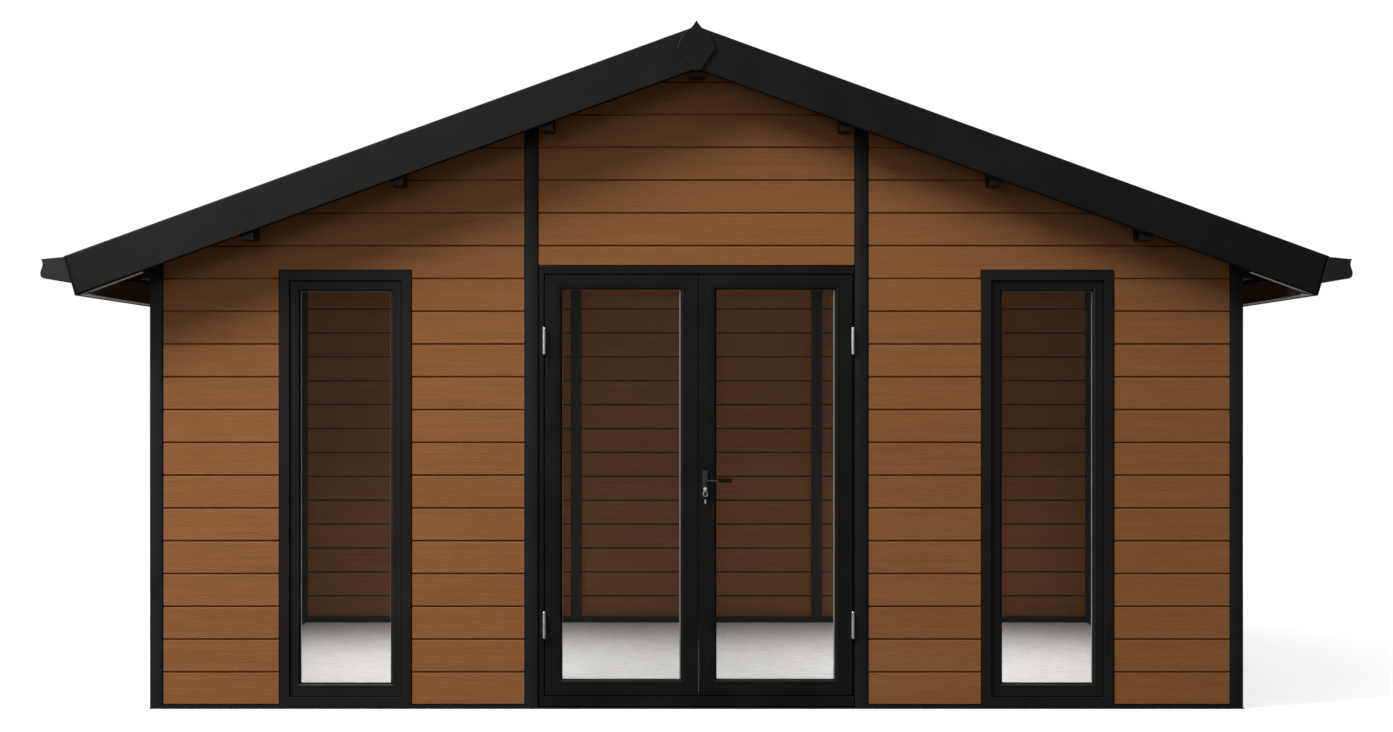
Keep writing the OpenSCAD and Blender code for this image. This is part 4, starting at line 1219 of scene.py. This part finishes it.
# %% Roll the gutters
GUTTER_METAL, OGEE = 0.0025, 0.005
OGEE_STEPS, HOLLOW_SHARE = 26, 0.45
STRAPS, STRAP_WIDTH = 7, 0.025
for side, hand in SIDES:
    low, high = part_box(f"gutter_{hand}")
    outer, top = max(abs(low.x), abs(high.x)) - OGEE, high.z
    sole = top - (top - low.z) * 0.83
    section = [(fascia_x(top) + 0.0012, top), (fascia_x(low.z) + 0.0012, low.z),
               (outer - 0.016, sole - 0.002), (outer - 0.006, sole + 0.0005)]
    for step in range(1, OGEE_STEPS + 1):
        share = step / OGEE_STEPS
        bow = (math.sin(math.pi * share / HOLLOW_SHARE) if share < HOLLOW_SHARE
               else -math.sin(math.pi * (share - HOLLOW_SHARE) / (1 - HOLLOW_SHARE)))
        section.append((outer + OGEE * bow, sole + 0.004 + (top - sole - 0.004) * share))
    section = [(side * x, z) for x, z in section]
    shell = bmesh.new()
    path = [shell.verts.new((x, low.y + GUTTER_METAL / 2, z)) for x, z in section]
    grown = bmesh.ops.extrude_edge_only(shell, edges=[shell.edges.new(pair) for pair in zip(path, path[1:])])
    bmesh.ops.translate(shell, vec=(0, high.y - low.y - GUTTER_METAL, 0), verts=new_verts(grown))
    bmesh.ops.recalc_face_normals(shell, faces=shell.faces)
    lowest = min(shell.faces, key=lambda face: face.calc_center_median().z)
    thickness = GUTTER_METAL if lowest.normal.z < 0 else -GUTTER_METAL
    bmesh.ops.solidify(shell, geom=shell.faces[:], thickness=thickness)
    plate = [(side * (fascia_x(top) + 0.0012), top + 0.010)] + section[1:]
    for y in (low.y, high.y - GUTTER_METAL):
        pour(shell, soften(pushed(plate, y, y + GUTTER_METAL), 0.0007))
    near, far = on_side(side, fascia_x(top) + 0.001, outer - OGEE - 0.003)
    for step in range(STRAPS):
        y = low.y + (step + 0.5) * (high.y - low.y) / STRAPS
        pour(shell, bar((near, y - STRAP_WIDTH / 2, top - 0.0055), (far, y + STRAP_WIDTH / 2, top - 0.0030),
                        0.0006))
    pour(shell, turned_through(side * (outer - 0.0015), top - 0.0035, low.y + 0.001, high.y - 0.001,
                               0.006, 0.0005, 14))
    finish_piece(f"gutter_{hand}_rolled", shell, gutter_coat, crease=20,
                 replaces=(f"gutter_{hand}",))

# %% [markdown]
# ## Pieces kept as they are
#
# Rails, eaves beams and the floor panel have the right shape in the plain model, so they stay and
# only get their finish.

# %% Finish the pieces that stay
kept = {frame_coat: ("base_rail_front", "base_rail_back", "base_rails_side", "eaves_beams"),
        floor_vinyl: ("floor_panel",)}
for material, names in kept.items():
    for name in names:
        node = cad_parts[name]
        node.data.materials.clear()
        node.data.materials.append(material)
shown = [name for name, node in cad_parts.items() if not node.hide_render]
print("Still shown from the plain model:", sorted(shown))

# %% [markdown]
# ## The ground
#
# A plain pale ground, wide enough to fill the view to the horizon.

# %% Lay the ground
GROUND_REACH = 80
ground = bmesh.new()
bmesh.ops.create_grid(ground, x_segments=1, y_segments=1, size=GROUND_REACH)
ground_mesh = bpy.data.meshes.new("pale_ground")
ground.to_mesh(ground_mesh)
ground.free()
pale = Finish("pale_ground", (0.90, 0.90, 0.90), 0.9, specular=0.1)
pale.color(pale.tint(pale.noise((0.4, 0.4, 0.4), 2.0), (0.90, 0.90, 0.90), (0.87, 0.87, 0.87)))
pale.shader.inputs["Emission Color"].default_value = (1, 1, 1, 1)
pale.shader.inputs["Emission Strength"].default_value = 0.60
ground_mesh.materials.append(pale.material)
ground_piece = bpy.data.objects.new("pale_ground", ground_mesh)
scene.collection.objects.link(ground_piece)
ground_piece.visible_diffuse = False
ground_piece.visible_glossy = False
print("The ground is", 2 * GROUND_REACH, "m across.")
